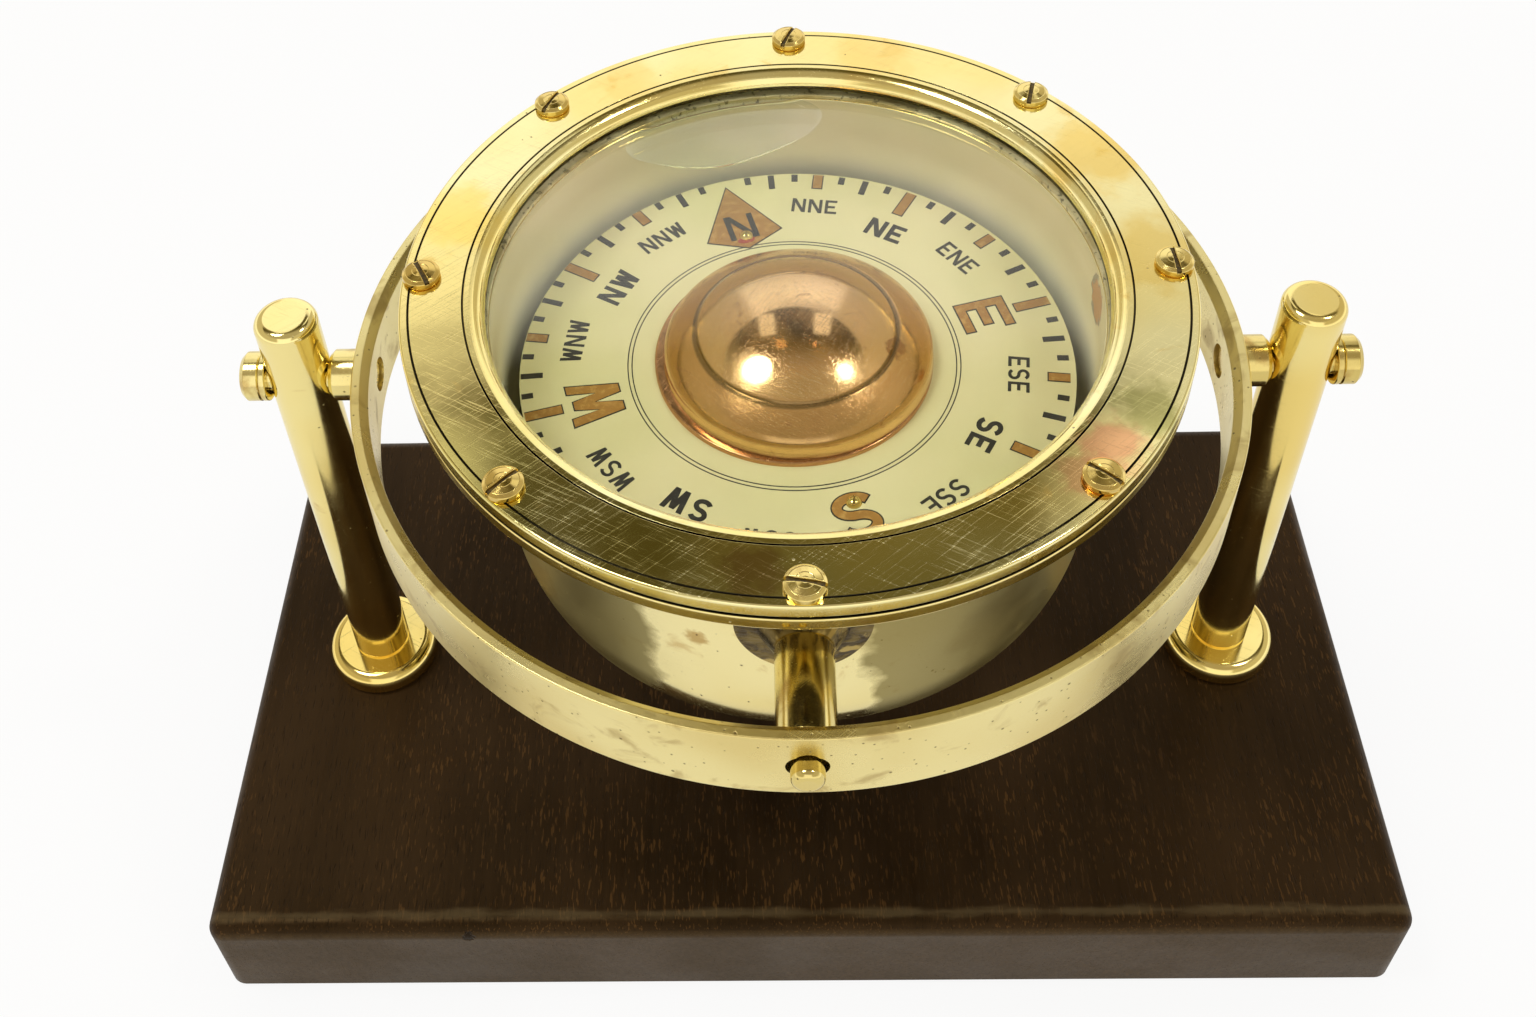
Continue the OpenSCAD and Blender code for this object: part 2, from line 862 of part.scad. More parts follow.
module float_base() {
    s = sheet_t;
    color("#b87a44")
        on_card()
            rotate_extrude()
                polygon([[tunnel_r, -under_h], [under_r, -under_h], [under_r, 0], [lip_r, 0], [lip_r, s],
                    [under_r - s, s], [under_r - s, s - under_h], [tunnel_r + s, s - under_h],
                    [tunnel_r + s, seat_rise + s], [0, seat_rise + s], [0, seat_rise], [tunnel_r, seat_rise]]);
}

module jewel_cup() {
    color("#e8e0c8")
        on_card()
            translate([0, 0, seat_rise - jewel_h])
                difference() {
                    cylinder(h = jewel_h, r = tunnel_r - thread_gap);
                    translate([0, 0, -tiny])
                        cylinder(h = jewel_h - jewel_tip + tiny, r1 = tunnel_r - 1.5, r2 = 0.3);
                }
}

module magnet_straps() {
    color("#b99a45")
        on_card()
            for (y = [-1, 1])
                translate([0, y * card_screw_at, -card_t - strap_t])
                    difference() {
                        translate([-magnet_x - magnet_w / 2, -strap_w / 2 - 2 * y, 0])
                            cube([2 * magnet_x + magnet_w, strap_w, strap_t]);
                        translate([0, 0, -1])
                            cylinder(h = strap_t + 2, d = card_screw_d + 2 * thread_gap);
                    }
}

module magnets() {
    color("#55585c")
        on_card()
            for (x = [-1, 1])
                translate([x * magnet_x - magnet_w / 2, -magnet_l / 2, -card_t - strap_t - magnet_h])
                    cube([magnet_w, magnet_l, magnet_h]);
}

module card_screws() {
    color("#d0ab4c")
        on_card()
            for (y = [-1, 1])
                translate([0, y * card_screw_at, 0]) {
                    translate([0, 0, -card_t - strap_t])
                        cylinder(h = card_t + strap_t + tiny, d = card_screw_d);
                    round_head(card_screw_head_d, card_screw_head_h, card_slot_w, card_slot_depth, card_slot_angle);
                }
}

base_board();
post(LEFT);  // post_left
post(RIGHT);  // post_right
post_foot(LEFT);  // post_foot_left
post_foot(RIGHT);  // post_foot_right
hold_down_screws();
hold_down_washers();
pivot_pin(LEFT);  // pivot_pin_left
pivot_pin(RIGHT);  // pivot_pin_right
pivot_washers();
pivot_collar(LEFT);  // pivot_collar_left
pivot_collar(RIGHT);  // pivot_collar_right
gimbal_ring();
bowl_shell();
bowl_flange();
trunnion(FRONT);  // trunnion_front
trunnion(BACK);  // trunnion_back
trunnion_saddle(FRONT);  // trunnion_saddle_front
trunnion_saddle(BACK);  // trunnion_saddle_back
glass_gasket_lower();
window_glass();
glass_gasket_upper();
bezel_ring();
bezel_screws();
ballast_ring();
pivot_stem();
pivot_point();
diaphragm();
diaphragm_cover();
cover_screws();
filler_plug();
card_disc();
float_dome();
float_cap();
float_base();
jewel_cup();
magnet_straps();
magnets();
card_screws();
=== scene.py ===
"""Marine compass in a gimbal stand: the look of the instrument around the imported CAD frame."""

import json
import math

import bmesh
import bpy
from mathutils import Matrix, Vector

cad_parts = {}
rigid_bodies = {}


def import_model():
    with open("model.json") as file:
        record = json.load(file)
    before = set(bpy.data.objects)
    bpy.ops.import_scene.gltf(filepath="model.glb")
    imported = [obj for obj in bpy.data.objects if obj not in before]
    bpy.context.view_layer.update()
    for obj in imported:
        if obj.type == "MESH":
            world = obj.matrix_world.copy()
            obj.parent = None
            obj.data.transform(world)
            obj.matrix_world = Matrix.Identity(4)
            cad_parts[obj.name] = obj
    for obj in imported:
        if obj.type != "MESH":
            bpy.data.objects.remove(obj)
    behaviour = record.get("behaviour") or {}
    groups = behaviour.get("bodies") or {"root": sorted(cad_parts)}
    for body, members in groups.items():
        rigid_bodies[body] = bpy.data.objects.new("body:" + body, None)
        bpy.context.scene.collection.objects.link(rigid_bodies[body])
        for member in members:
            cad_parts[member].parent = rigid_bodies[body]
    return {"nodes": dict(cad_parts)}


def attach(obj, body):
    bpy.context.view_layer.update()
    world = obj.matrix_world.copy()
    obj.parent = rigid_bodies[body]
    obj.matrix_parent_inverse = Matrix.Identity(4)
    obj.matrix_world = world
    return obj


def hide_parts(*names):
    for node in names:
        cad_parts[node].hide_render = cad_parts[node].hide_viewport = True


for left_over in list(bpy.data.objects):
    bpy.data.objects.remove(left_over)
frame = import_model()
bpy.context.view_layer.update()

MM = 0.001
TAU = 2 * math.pi

# Sizes in millimetres, as the CAD frame has them. Heights of the bowl's pieces count from the gimbal
# axes, and those of the float from the card's face.
AXIS_Z = 137.55
HUB = (0, 0, AXIS_Z)
BOARD_W, BOARD_D, BOARD_T, BOARD_FORWARD = 281.5, 148.5, 28.5, 2.5
POST_X, POST_R, POST_TOP, POST_ROUND = 109.15, 6.9, 156.55, 2.4
FOOT_R, FOOT_T, FOOT_LOW_ROUND, FOOT_TOP_ROUND = 14.0, 6.0, 1.2, 4.7
KNOB_R, KNOB_IN, KNOB_OUT = 5.5, 117.55, 121.75
RING_IN, RING_OUT, RING_HALF, RING_BEVEL = 91.85, 95.45, 9.4, 1.7
PIN_R, HOLE_R, HOLE_WEAR, NOTCH_R, NOTCH_RISE = 3.2, 3.26, 0.8, 2.5, 0.9
BOWL_R, BOWL_IN, BOWL_LOW, BOWL_HIGH, BOWL_ROUND = 66.5, 64.3, -52.0, 18.9, 24.0
RIM_R, COLLAR_R, COLLAR_LOW, SEAT_R = 82.0, 72.4, 15.3, 69.3
FLANGE_LOW, FLANGE_TOP, LEDGE_TOP = 23.0, 26.2, 21.7
BEZEL_LOW, BEZEL_TOP, WINDOW_R, LIP_R, SCRIBE_R, BEAD_R = 26.8, 30.0, 64.5, 67.9, 80.0, 68.9
GLASS_R, GLASS_LOW, GLASS_TOP = 69.1, 22.6, 25.6
SCREW_R, HEAD_R, HEAD_H, SLOT_W, SLOT_DEPTH = 77.8, 3.95, 2.3, 1.0, 1.25
CARD_TURN, CARD_RIM, CARD_FACE = 15.5, 60.3, AXIS_Z + 1.5
DOME_R, DOME_TOP, SKIRT_R, SKIRT_H, CAP_R, CAP_RISE = 30.4, 9.6, 29.1, 3.5, 21.6, 6.4

# Where the print, the float's lip, its dome and its cap sit on the card, none of them quite centred
PRINT_AT, LIP_AT, DOME_AT, CAP_AT = (-0.5, 0.4), (-0.5, 0.5), (0.5, 0.8), (0, 0.4)

# How far the ink starts under the card's face, and how far black and coloured ink stand on it
INK_ROOT, INK_UNDER, INK_OVER = 0.05, 0.05, 0.09


# Colours and node trees


def linear(code):
    """An sRGB hex colour as the linear values that shaders take."""
    parts = [int(code[i : i + 2], 16) / 255 for i in (1, 3, 5)]
    return (*[c / 12.92 if c <= 0.04045 else ((c + 0.055) / 1.055) ** 2.4 for c in parts], 1.0)


def add(tree, kind, inputs=None, **settings):
    """Add a node: its settings, then each input linked to a node or socket, or set to a value."""
    made = tree.nodes.new(kind)
    for name, value in settings.items():
        setattr(made, name, value)
    for key, value in (inputs or {}).items():
        named = isinstance(key, str)
        socket = next(s for s in made.inputs if s.enabled and s.name == key) if named else made.inputs[key]
        if isinstance(value, bpy.types.Node):
            value = next(s for s in value.outputs if s.enabled)
        if isinstance(value, bpy.types.NodeSocket):
            tree.links.new(value, socket)
        else:
            socket.default_value = value
    return made


def found(tree, kind):
    """The one node of a kind that a new tree starts with."""
    return next(n for n in tree.nodes if n.type == kind)


def new_material(name, **skin):
    """A material and its tree, with plain values set on the Principled shader's own sockets."""
    mat = bpy.data.materials.new(name)
    mat.use_nodes = True
    for socket, value in skin.items():
        found(mat.node_tree, "BSDF_PRINCIPLED").inputs[socket.replace("_", " ")].default_value = value
    return mat, mat.node_tree


def lengths(tree, sizes=1, turn=(0, 0, 0), centre=(0, 0, 0)):
    """A piece's own coordinates counted in pattern lengths, given in millimetres, along turned axes."""
    sizes = sizes if isinstance(sizes, tuple) else (sizes,) * 3
    place = {
        "Vector": add(tree, "ShaderNodeTexCoord").outputs["Object"],
        "Location": [c * MM for c in centre],
        "Rotation": turn,
        "Scale": [s * MM for s in sizes],
    }
    return add(tree, "ShaderNodeMapping", place, vector_type="TEXTURE")


def blotches(tree, sizes, low, high, detail=4.0, turn=(0, 0, 0), warp=0.0):
    """Soft-edged blotches of the given size: 0 between them, 1 inside."""
    noise = {"Vector": lengths(tree, sizes, turn), "Scale": 1.0, "Detail": detail, "Distortion": warp}
    limits = {"Value": add(tree, "ShaderNodeTexNoise", noise), "From Min": low, "From Max": high}
    return add(tree, "ShaderNodeMapRange", limits, interpolation_type="SMOOTHSTEP")


def summed(tree, start, *terms):
    """A level with patterns times their weights added to it. A weight may be a pattern too."""
    level = start
    for pattern, weight in terms:
        level = add(tree, "ShaderNodeMath", {0: pattern, 1: weight, 2: level}, operation="MULTIPLY_ADD")
    return level


def pits(tree, spacing, radius, share):
    """Scattered round pits: 1 in a pit, 0 between them. A share of the places has one."""
    cell = add(tree, "ShaderNodeTexVoronoi", {"Vector": lengths(tree, spacing), "Scale": 1.0})
    edge = radius / spacing
    near = {"Value": cell.outputs["Distance"], "From Min": edge, "From Max": edge * 0.4}
    chance = add(tree, "ShaderNodeSeparateColor", {"Color": cell.outputs["Color"]})
    chosen = add(tree, "ShaderNodeMath", {0: chance, 1: share}, operation="LESS_THAN")
    return summed(tree, 0.0, (add(tree, "ShaderNodeMapRange", near), chosen))


def patch(tree, centre, radius, soft=0.6, ragged=0.8):
    """One ragged patch round a place: 1 inside, 0 outside."""
    away = add(tree, "ShaderNodeVectorMath", {0: lengths(tree, centre=centre)}, operation="LENGTH")
    away = summed(tree, away, (blotches(tree, radius * 0.5, 0.0, 1.0, 5.0), radius * ragged))
    middle = radius * ragged / 2
    limits = {"Value": away, "From Min": radius + middle, "From Max": radius * (1 - soft) + middle}
    return add(tree, "ShaderNodeMapRange", limits, interpolation_type="SMOOTHSTEP")


def between(tree, level, low, high, soft):
    """1 where a level lies between two limits, fading to 0 outside them."""
    up = {"Value": level, "From Min": low - soft, "From Max": low}
    down = {"Value": level, "From Min": high + soft, "From Max": high}
    up, down = (add(tree, "ShaderNodeMapRange", limits) for limits in (up, down))
    return summed(tree, 0.0, (up, down))


def cylindrical(tree, centre):
    """Distance from an upright axis through a place, and height over it, both in millimetres."""
    apart = add(tree, "ShaderNodeSeparateXYZ", {0: lengths(tree, centre=centre)})
    flat = add(tree, "ShaderNodeCombineXYZ", {"X": apart.outputs["X"], "Y": apart.outputs["Y"]})
    away = add(tree, "ShaderNodeVectorMath", {0: flat}, operation="LENGTH")
    return away.outputs["Value"], apart.outputs["Z"]


def layered(tree, tone, *layers):
    """A colour with others laid over it, each by its share."""
    for share, colour in layers:
        tone = add(tree, "ShaderNodeMix", {"Factor": share, "A": tone, "B": colour}, data_type="RGBA")
    return tone


def dress(mat, base, layers, rough, relief):
    """Give a material its colours, its roughness and its relief in millimetres.

    Each layer over the base colour is a pattern, its strength and its colour. Roughness and relief are
    each a start level and the patterns that change it, with their weights.
    """
    tree = mat.node_tree
    over = [(summed(tree, 0.0, (pattern, strength)), linear(colour)) for pattern, strength, colour in layers]
    tone = layered(tree, linear(base), *over)
    bump = {"Height": summed(tree, *relief), "Distance": MM, "Strength": 1.0}
    bump = add(tree, "ShaderNodeBump", bump)
    for socket, node in (("Base Color", tone), ("Roughness", summed(tree, *rough)), ("Normal", bump)):
        out = next(s for s in node.outputs if s.enabled)
        tree.links.new(out, found(tree, "BSDF_PRINCIPLED").inputs[socket])
    return mat


def cover(tree, share, other):
    """Lay another shader over a material's own one by a share, and make the mix its surface."""
    layers = {0: share, 1: found(tree, "BSDF_PRINCIPLED"), 2: other}
    joined = add(tree, "ShaderNodeMixShader", layers)
    tree.links.new(joined.outputs[0], found(tree, "OUTPUT_MATERIAL").inputs["Surface"])


# Metals


def brass(
    name,
    gold,
    deep,
    stain,
    polish=0.13,
    stained=0.6,
    pitted=0.1,
    scratched=0.66,
    wave=0.07,
    marks=(),
    seams_and_gap_shade=(),
    rubbed=None,
):
    """Cast or turned brass, polished by hand and left to tarnish.

    Slow swings between two golds, orange-brown blooms where lacquer has gone, dark casting pits,
    crossing hairlines and a wavy hand-worked surface that bends its reflections a little. Hairlines
    are drawn 0.2 mm wide, coarser than the real ones, so that they show. Marks are single patches of
    colour: stains and deeper golds, and on the bezel's front olive patches that are painted reflection.
    Seams are turned grooves or joints, as radii or heights, that hold dried polish and dark tarnish;
    those between bezel and flange are also painted shade in the gap. Where a strip is to stay bright,
    its limits from left to right are given, and the rest is painted a duller olive, a painted
    reflection of the dark board, and made rougher.
    """
    mat, tree = new_material(name, Metallic=1.0)
    swing = blotches(tree, 46, 0.38, 0.62, 2.0)
    bloom = blotches(tree, (9, 9, 7), stained, stained + 0.16, 8.0, warp=0.6)
    pit = summed(tree, 0.0, (pits(tree, 1.9, 0.3, pitted), 1.0), (pits(tree, 4.3, 0.42, pitted), 1.0))
    layers = [(swing, 1.0, deep), (bloom, 0.6, stain)]
    for x, y, z, radius, colour, strength in marks:
        layers.append((patch(tree, (x, y, AXIS_Z + z), radius), strength, colour))
    layers.append((pit, 0.7, "#4A3414"))
    # Painted reflection: outside the strip the brass is painted a duller olive for the dark board seen in
    # it, and made rougher.
    if rubbed:
        side = add(tree, "ShaderNodeSeparateXYZ", {0: lengths(tree)}).outputs["X"]
        side = summed(tree, side, (blotches(tree, (18, 18, 12), 0.0, 1.0, 5.0), 14.0))
        bright = between(tree, side, rubbed[0] + 7, rubbed[1] + 7, 3)
        painted_olive_flanks = summed(tree, 1.0, (bright, -1.0))
        layers.append((painted_olive_flanks, 0.85, "#8E8048"))
        polish = summed(tree, polish, (painted_olive_flanks, 0.2))
    radius, height = cylindrical(tree, HUB)
    # Dark tarnish in grooves and joints; the height bands between bezel and flange are also painted shade in
    # the gap.
    for kind, low, high in seams_and_gap_shade:
        level = radius if kind == "radius" else height
        layers.append((between(tree, level, low, high, 0.06), 0.93, "#1E1508"))
    one_way = blotches(tree, (14, 0.2, 0.2), scratched, scratched + 0.06, 1.0, (0, 0, 0.7))
    other_way = blotches(tree, (9, 0.24, 0.24), scratched, scratched + 0.06, 1.0, (0.2, 0, -0.5))
    haze = blotches(tree, (17, 17, 12), 0.3, 0.75)
    rough = (polish, (haze, 0.07), (bloom, 0.06), (one_way, 0.1), (other_way, 0.1), (pit, 0.3))
    waves = blotches(tree, 22, 0.0, 1.0, 1.0)
    relief = (0.0, (waves, wave), (pit, -0.04), (one_way, -0.0012), (other_way, -0.0012))
    return dress(mat, gold, layers, rough, relief)


def spun_copper(name):
    """Copper sheet spun over a former: burnished bright on the crown, left browner and satin lower down.

    Brown heat stains, a darker orange band below the seam that is painted reflection of the shaded wall, a
    dark line of solder and dirt in the seam, a dark red lip, and fine rubbing marks that streak the
    reflections. The marks are drawn 0.16 mm wide so that they show.
    """
    mat, tree = new_material(name, Metallic=1.0)
    swing = blotches(tree, (18, 18, 10), 0.35, 0.7)
    heat = blotches(tree, (5, 5, 3), 0.6, 0.7, 8.0, warp=0.8)
    star = patch(tree, (20.3, -5.7, CARD_FACE + 8), 3.4, 0.4, 1.4)
    away, height = cylindrical(tree, (*CAP_AT, CARD_FACE))
    uneven = summed(tree, away, (blotches(tree, 7, 0.0, 1.0), 3.0))
    lower = {"Value": uneven, "From Min": 14.6, "From Max": 19.6}
    lower = add(tree, "ShaderNodeMapRange", lower, interpolation_type="SMOOTHSTEP")
    lip = add(tree, "ShaderNodeMapRange", {"Value": height, "From Min": 2.0, "From Max": 1.1})
    # Painted reflection: a darker orange band below the seam, for the shaded wall seen in it.
    painted_reflection_band = between(tree, height, 5.5, 8.5, 2.0)
    seam_in = between(tree, away, CAP_R - 0.2, CAP_R + 0.5, 0.45)
    seam = summed(tree, 0.0, (seam_in, between(tree, height, 8.6, 9.9, 0.2)))
    rubbed = blotches(tree, (9, 0.16, 0.16), 0.6, 0.66, 1.0, (0, 0, 1.0))
    wiped = blotches(tree, (7, 0.16, 0.16), 0.6, 0.66, 1.0, (0, 0.2, -0.4))
    layers = (
        (swing, 0.6, "#EEC08A"),
        (lower, 0.7, "#ECC488"),
        (painted_reflection_band, 0.45, "#CA9450"),
        (rubbed, 0.3, "#A87444"),
        (wiped, 0.3, "#A87444"),
        (heat, 0.35, "#A8704A"),
        (star, 0.6, "#9C6038"),
        (lip, 0.7, "#C08A66"),
        (seam, 0.7, "#6A5430"),
    )
    rough = (0.05, (lower, 0.07), (heat, 0.06), (rubbed, 0.15), (wiped, 0.15))
    waves = blotches(tree, 12, 0.0, 1.0, 2.0)
    return dress(mat, "#F6CC9A", layers, rough, (0.0, (waves, 0.05), (rubbed, -0.002), (wiped, -0.002)))


def worked_metal(name, pale, dark, rough, grain):
    """Ground steel or cast iron that is seldom seen: even grey with a cloudy grain."""
    mat, tree = new_material(name, Metallic=1.0)
    cloudy = blotches(tree, grain * 5, 0.3, 0.7, 5.0)
    fine = blotches(tree, grain, 0.2, 0.8)
    return dress(mat, pale, [(cloudy, 1.0, dark)], (rough, (cloudy, 0.15)), (0.0, (fine, 0.03)))


def wiped_solder(name):
    """Soft solder wiped round the joint while pasty: dark brown-grey, ridged by the cloth, with brass
    shining through where it lies thin."""
    mat, tree = new_material(name, Metallic=0.85)
    smear = blotches(tree, (6, 6, 4), 0.35, 0.6, 5.0, warp=0.9)
    thin = blotches(tree, 8, 0.56, 0.62, 5.0, warp=0.5)
    ridge = blotches(tree, (3, 1.2, 1.2), 0.2, 0.8)
    layers = ((smear, 1.0, "#7A6838"), (thin, 0.8, "#C4AA62"))
    return dress(mat, "#42341A", layers, (0.22, (smear, 0.12)), (0.0, (ridge, 0.1), (smear, 0.05)))


# Wood, paint, paper, ink, cork and glass


def stained_hardwood(name):
    """Tropical hardwood, planed, stained nearly black-brown and oiled.

    Soft grain and short open pores from front to back, golden flecks in drifts, a satin oil film, a
    speckled paler front face, which is end grain, and a front edge rubbed paler in a line that is also
    a painted highlight along the top of its rounding, with a dark nick.
    """
    mat, tree = new_material(name, Specular_IOR_Level=0.26, Specular_Tint=linear("#F0C080"))
    grain = blotches(tree, (2.2, 62, 5), 0.3, 0.7, 5.0, warp=0.25)
    broad = blotches(tree, (60, 90, 30), 0.35, 0.7, 2.0)
    pore = blotches(tree, (0.35, 4.5, 0.5), 0.62, 0.7, 1.0)
    fleck = blotches(tree, (0.5, 3.0, 0.6), 0.6, 0.68, 1.0, (0, 0, 0.04))
    drift = blotches(tree, (30, 40, 20), 0.3, 0.6, 3.0)
    edge = (0, 4.2 - BOARD_D / 2 - BOARD_FORWARD, BOARD_T - 0.2)
    apart = add(tree, "ShaderNodeSeparateXYZ", {0: lengths(tree, centre=edge)})
    end_grain = between(tree, apart.outputs["Y"], -6, -3.9, 0.6)
    speckle = blotches(tree, 1.1, 0.35, 0.7)
    # Front edge: worn paler, and a painted highlight along the top of the rounding.
    across = add(tree, "ShaderNodeCombineXYZ", {"Y": apart.outputs["Y"], "Z": apart.outputs["Z"]})
    away = add(tree, "ShaderNodeVectorMath", {0: across}, operation="LENGTH")
    away = summed(tree, away, (blotches(tree, (9, 3, 3), 0.0, 1.0, 6.0), 2.4))
    limits = {"Value": away, "From Min": 2.9, "From Max": 1.2}
    rubbed = add(tree, "ShaderNodeMapRange", limits, interpolation_type="SMOOTHSTEP")
    nick = patch(tree, (-78.7, -76.8, 25.6), 1.7, 0.5)
    film = blotches(tree, (30, 18, 18), 0.3, 0.7)
    layers = (
        (grain, 0.7, "#24190D"),
        (broad, 0.55, "#3C2C1C"),
        (pore, 0.6, "#100A04"),
        (summed(tree, 0.0, (fleck, drift)), 0.35, "#6E4E2A"),
        (end_grain, 0.55, "#4E3F28"),
        (summed(tree, 0.0, (end_grain, speckle)), 0.4, "#241A0E"),
        (rubbed, 0.22, "#8A7A5A"),
        (nick, 1.0, "#0E0A08"),
    )
    relief = (0.0, (grain, 0.04), (pore, -0.06), (nick, -0.4))
    return dress(mat, "#170F07", layers, (0.36, (film, 0.14), (pore, 0.2)), relief)


def card_paper(name):
    """Varnished paper on a thin disc: aged cream with a few foxing specks and a low, even gloss."""
    mat, tree = new_material(name)
    aged = blotches(tree, 30, 0.3, 0.7, 3.0)
    specks = pits(tree, 3.4, 0.2, 0.1)
    gloss = blotches(tree, 6, 0.2, 0.8)
    fibre = blotches(tree, 0.7, 0.2, 0.8)
    layers = ((aged, 0.8, "#DAD2A4"), (specks, 0.45, "#9A8A58"))
    return dress(mat, "#D2CA98", layers, (0.38, (gloss, 0.1)), (0.0, (fibre, 0.005)))


def printing_ink(name, colour, worn):
    """Ink printed on the varnished card: a dense film, thinner in small worn specks."""
    mat, tree = new_material(name)
    thin = blotches(tree, 1.6, 0.45, 0.75, 5.0)
    return dress(mat, colour, [(thin, 1.0, worn)], (0.45, (thin, 0.1)), (0.0, (thin, -0.01)))


def wall_paint(name):
    """Oil paint brushed inside the bowl, gone from white to warm beige, with one chip down to an orange
    primer and a dark rim round it. Its foot is painted paler: painted light against the shade under the
    card's rim."""
    mat, tree = new_material(name)
    aged = blotches(tree, (34, 34, 12), 0.3, 0.7, 3.0)
    brushed = blotches(tree, (12, 12, 1.5), 0.2, 0.8)
    rim, chip = (patch(tree, (BOWL_IN - 0.1, 2.5, AXIS_Z + 15.5), radius, 0.12) for radius in (5.4, 4.7))
    # Painted light: the wall's foot, where shade falls under the card, is made paler.
    foot = {"Value": cylindrical(tree, HUB)[1], "From Min": 14, "From Max": 1}
    foot = add(tree, "ShaderNodeMapRange", foot, interpolation_type="SMOOTHSTEP")
    layers = ((aged, 1.0, "#E0D5A8"), (foot, 1.0, "#FBF3CE"), (rim, 0.7, "#6A5A3A"), (chip, 1.0, "#C09050"))
    return dress(mat, "#D8CB9A", layers, (0.4, (brushed, 0.1)), (0.0, (brushed, 0.03), (chip, -0.1)))


def old_dirt(name):
    """Dried polish and verdigris lying in a screw slot: almost black, crumbly."""
    mat, tree = new_material(name)
    crumb = blotches(tree, 0.8, 0.35, 0.7, 5.0)
    return dress(mat, "#3A2E14", [(crumb, 1.0, "#6E5C2C")], (0.6, (crumb, 0.2)), (0.0, (crumb, 0.05)))


def packing_cork(name):
    """Cork packing under the glass: tan, varnished with old sealing paint, dark where grains have gone."""
    mat, tree = new_material(name)
    grains = blotches(tree, 1.3, 0.56, 0.66, 6.0)
    sealed = blotches(tree, 9, 0.35, 0.6, 3.0)
    layers = ((sealed, 1.0, "#DED2A6"), (grains, 0.7, "#3A3014"))
    return dress(mat, "#C0AE7C", layers, (0.5, (grains, 0.2)), (0.0, (grains, -0.1)))


def plate_glass(name, index):
    """Ground and polished plate glass: clear, a faint green body, and wipe marks that blur its shine.

    Lamps pass through it, so that the card is lit as under a real window.
    """
    mat, tree = new_material(name, Transmission_Weight=1.0, IOR=index)
    body = blotches(tree, 40, 0.3, 0.7, 2.0)
    wiped = blotches(tree, (14, 5, 5), 0.45, 0.8, 5.0)
    flat = blotches(tree, 60, 0.0, 1.0, 1.0)
    dress(mat, "#FFFFFF", [(body, 1.0, "#F2F6EC")], (0.0, (wiped, 0.02)), (0.0, (flat, 0.01)))
    through = add(tree, "ShaderNodeBsdfTransparent", {"Color": (0.94, 0.95, 0.92, 1)})
    cover(tree, add(tree, "ShaderNodeLightPath").outputs["Is Shadow Ray"], through)
    return mat


def jewel(name):
    """Polished sapphire cup: pale amber stone with faint veins."""
    mat, tree = new_material(name, IOR=1.76)
    veins = blotches(tree, 2, 0.3, 0.7)
    return dress(mat, "#EDE4CC", [(veins, 1.0, "#D8C8A4")], (0.06, (veins, 0.05)), (0.0, (veins, 0.005)))


# Marks as place, radius, colour and strength, with heights counted from the gimbal axes: stains and
# deeper golds, and on the bezel's front olive patches that are painted reflection of the dark ceiling
BEZEL_MARKS = (
    (-9, -74, BEZEL_TOP, 7, "#A8604A", 0.4),
    # Painted reflection: an olive patch of the dark ceiling on the bezel's front.
    (-30, -70, BEZEL_TOP, 12, "#D0C068", 0.6),
    (58, -47, BEZEL_TOP, 8, "#F09A7C", 0.6),
    (52, -54, BEZEL_TOP, 7, "#E89A74", 0.5),
    # Painted reflection: two olive patches of the dark ceiling on the bezel's front.
    (66, -38, BEZEL_TOP, 9, "#A8A85A", 0.6),
    (-60, -52, BEZEL_TOP, 20, "#D8D07C", 0.5),
    (20, 72, BEZEL_TOP, 12, "#F0CC72", 0.5),
    (-38, 64, BEZEL_TOP, 10, "#F0CC72", 0.4),
    (66, 34, BEZEL_TOP, 15, "#EECB66", 0.7),
    (75, 4, BEZEL_TOP, 14, "#EACB6C", 0.7),
    (-73, 18, BEZEL_TOP, 13, "#F6D870", 0.7),
)
BOWL_MARKS = (
    (-21, -63, -8, 3, "#B79248", 0.8),
    (-56, -36, -25, 9, "#D9A23E", 0.7),
    (40, -53, -17, 14, "#8A6A34", 0.6),
    (14, -65, 14, 8, "#5E5642", 0.8),
    (-13, -65, 15, 8, "#5E5642", 0.8),
)
BEZEL_SEAMS_AND_GAP_SHADE = (
    ("radius", BEAD_R - 0.2, BEAD_R + 0.18),
    ("radius", SCRIBE_R - 0.22, SCRIBE_R + 0.22),
    # Painted shade and tarnish: the bezel's underside over the gap to the flange.
    ("height", BEZEL_LOW - 1, BEZEL_LOW + 0.12),
)
FLANGE_SEAMS_AND_GAP_SHADE = (
    # Painted shade and tarnish: the flange's top under the bezel and its lower edge.
    ("height", FLANGE_TOP - 0.12, FLANGE_TOP + 1),
    ("height", FLANGE_LOW - 0.6, FLANGE_LOW + 0.1),
)
BEZEL_GOLDS = ("#F7EDB0", "#F3E092", "#E8C05E")
FLANGE_GOLDS = ("#EFDF98", "#DBC474", "#B48E4C")
RING_GOLDS = ("#F2E4A2", "#E4D088", "#B2985A")
BOWL_GOLDS = ("#F8EBAC", "#EEDC94", "#C8A45C")
POST_GOLDS = ("#F8E8A0", "#F1D882", "#D4AE5E")
PIN_GOLDS = ("#EFDF98", "#DAC476", "#B8924E")
SCREW_GOLDS = ("#EDD98C", "#DABD6C", "#AE8E4C")
bezel_brass = brass(
    "polished_bezel_brass", *BEZEL_GOLDS, 0.07, 0.6, 0.04, 0.62, marks=BEZEL_MARKS, seams_and_gap_shade=BEZEL_SEAMS_AND_GAP_SHADE
)
flange_brass = brass("turned_flange_brass", *FLANGE_GOLDS, 0.13, 0.58, 0.08, seams_and_gap_shade=FLANGE_SEAMS_AND_GAP_SHADE)
ring_brass = brass("pitted_ring_brass", *RING_GOLDS, 0.26, 0.53, 0.5, 0.6)
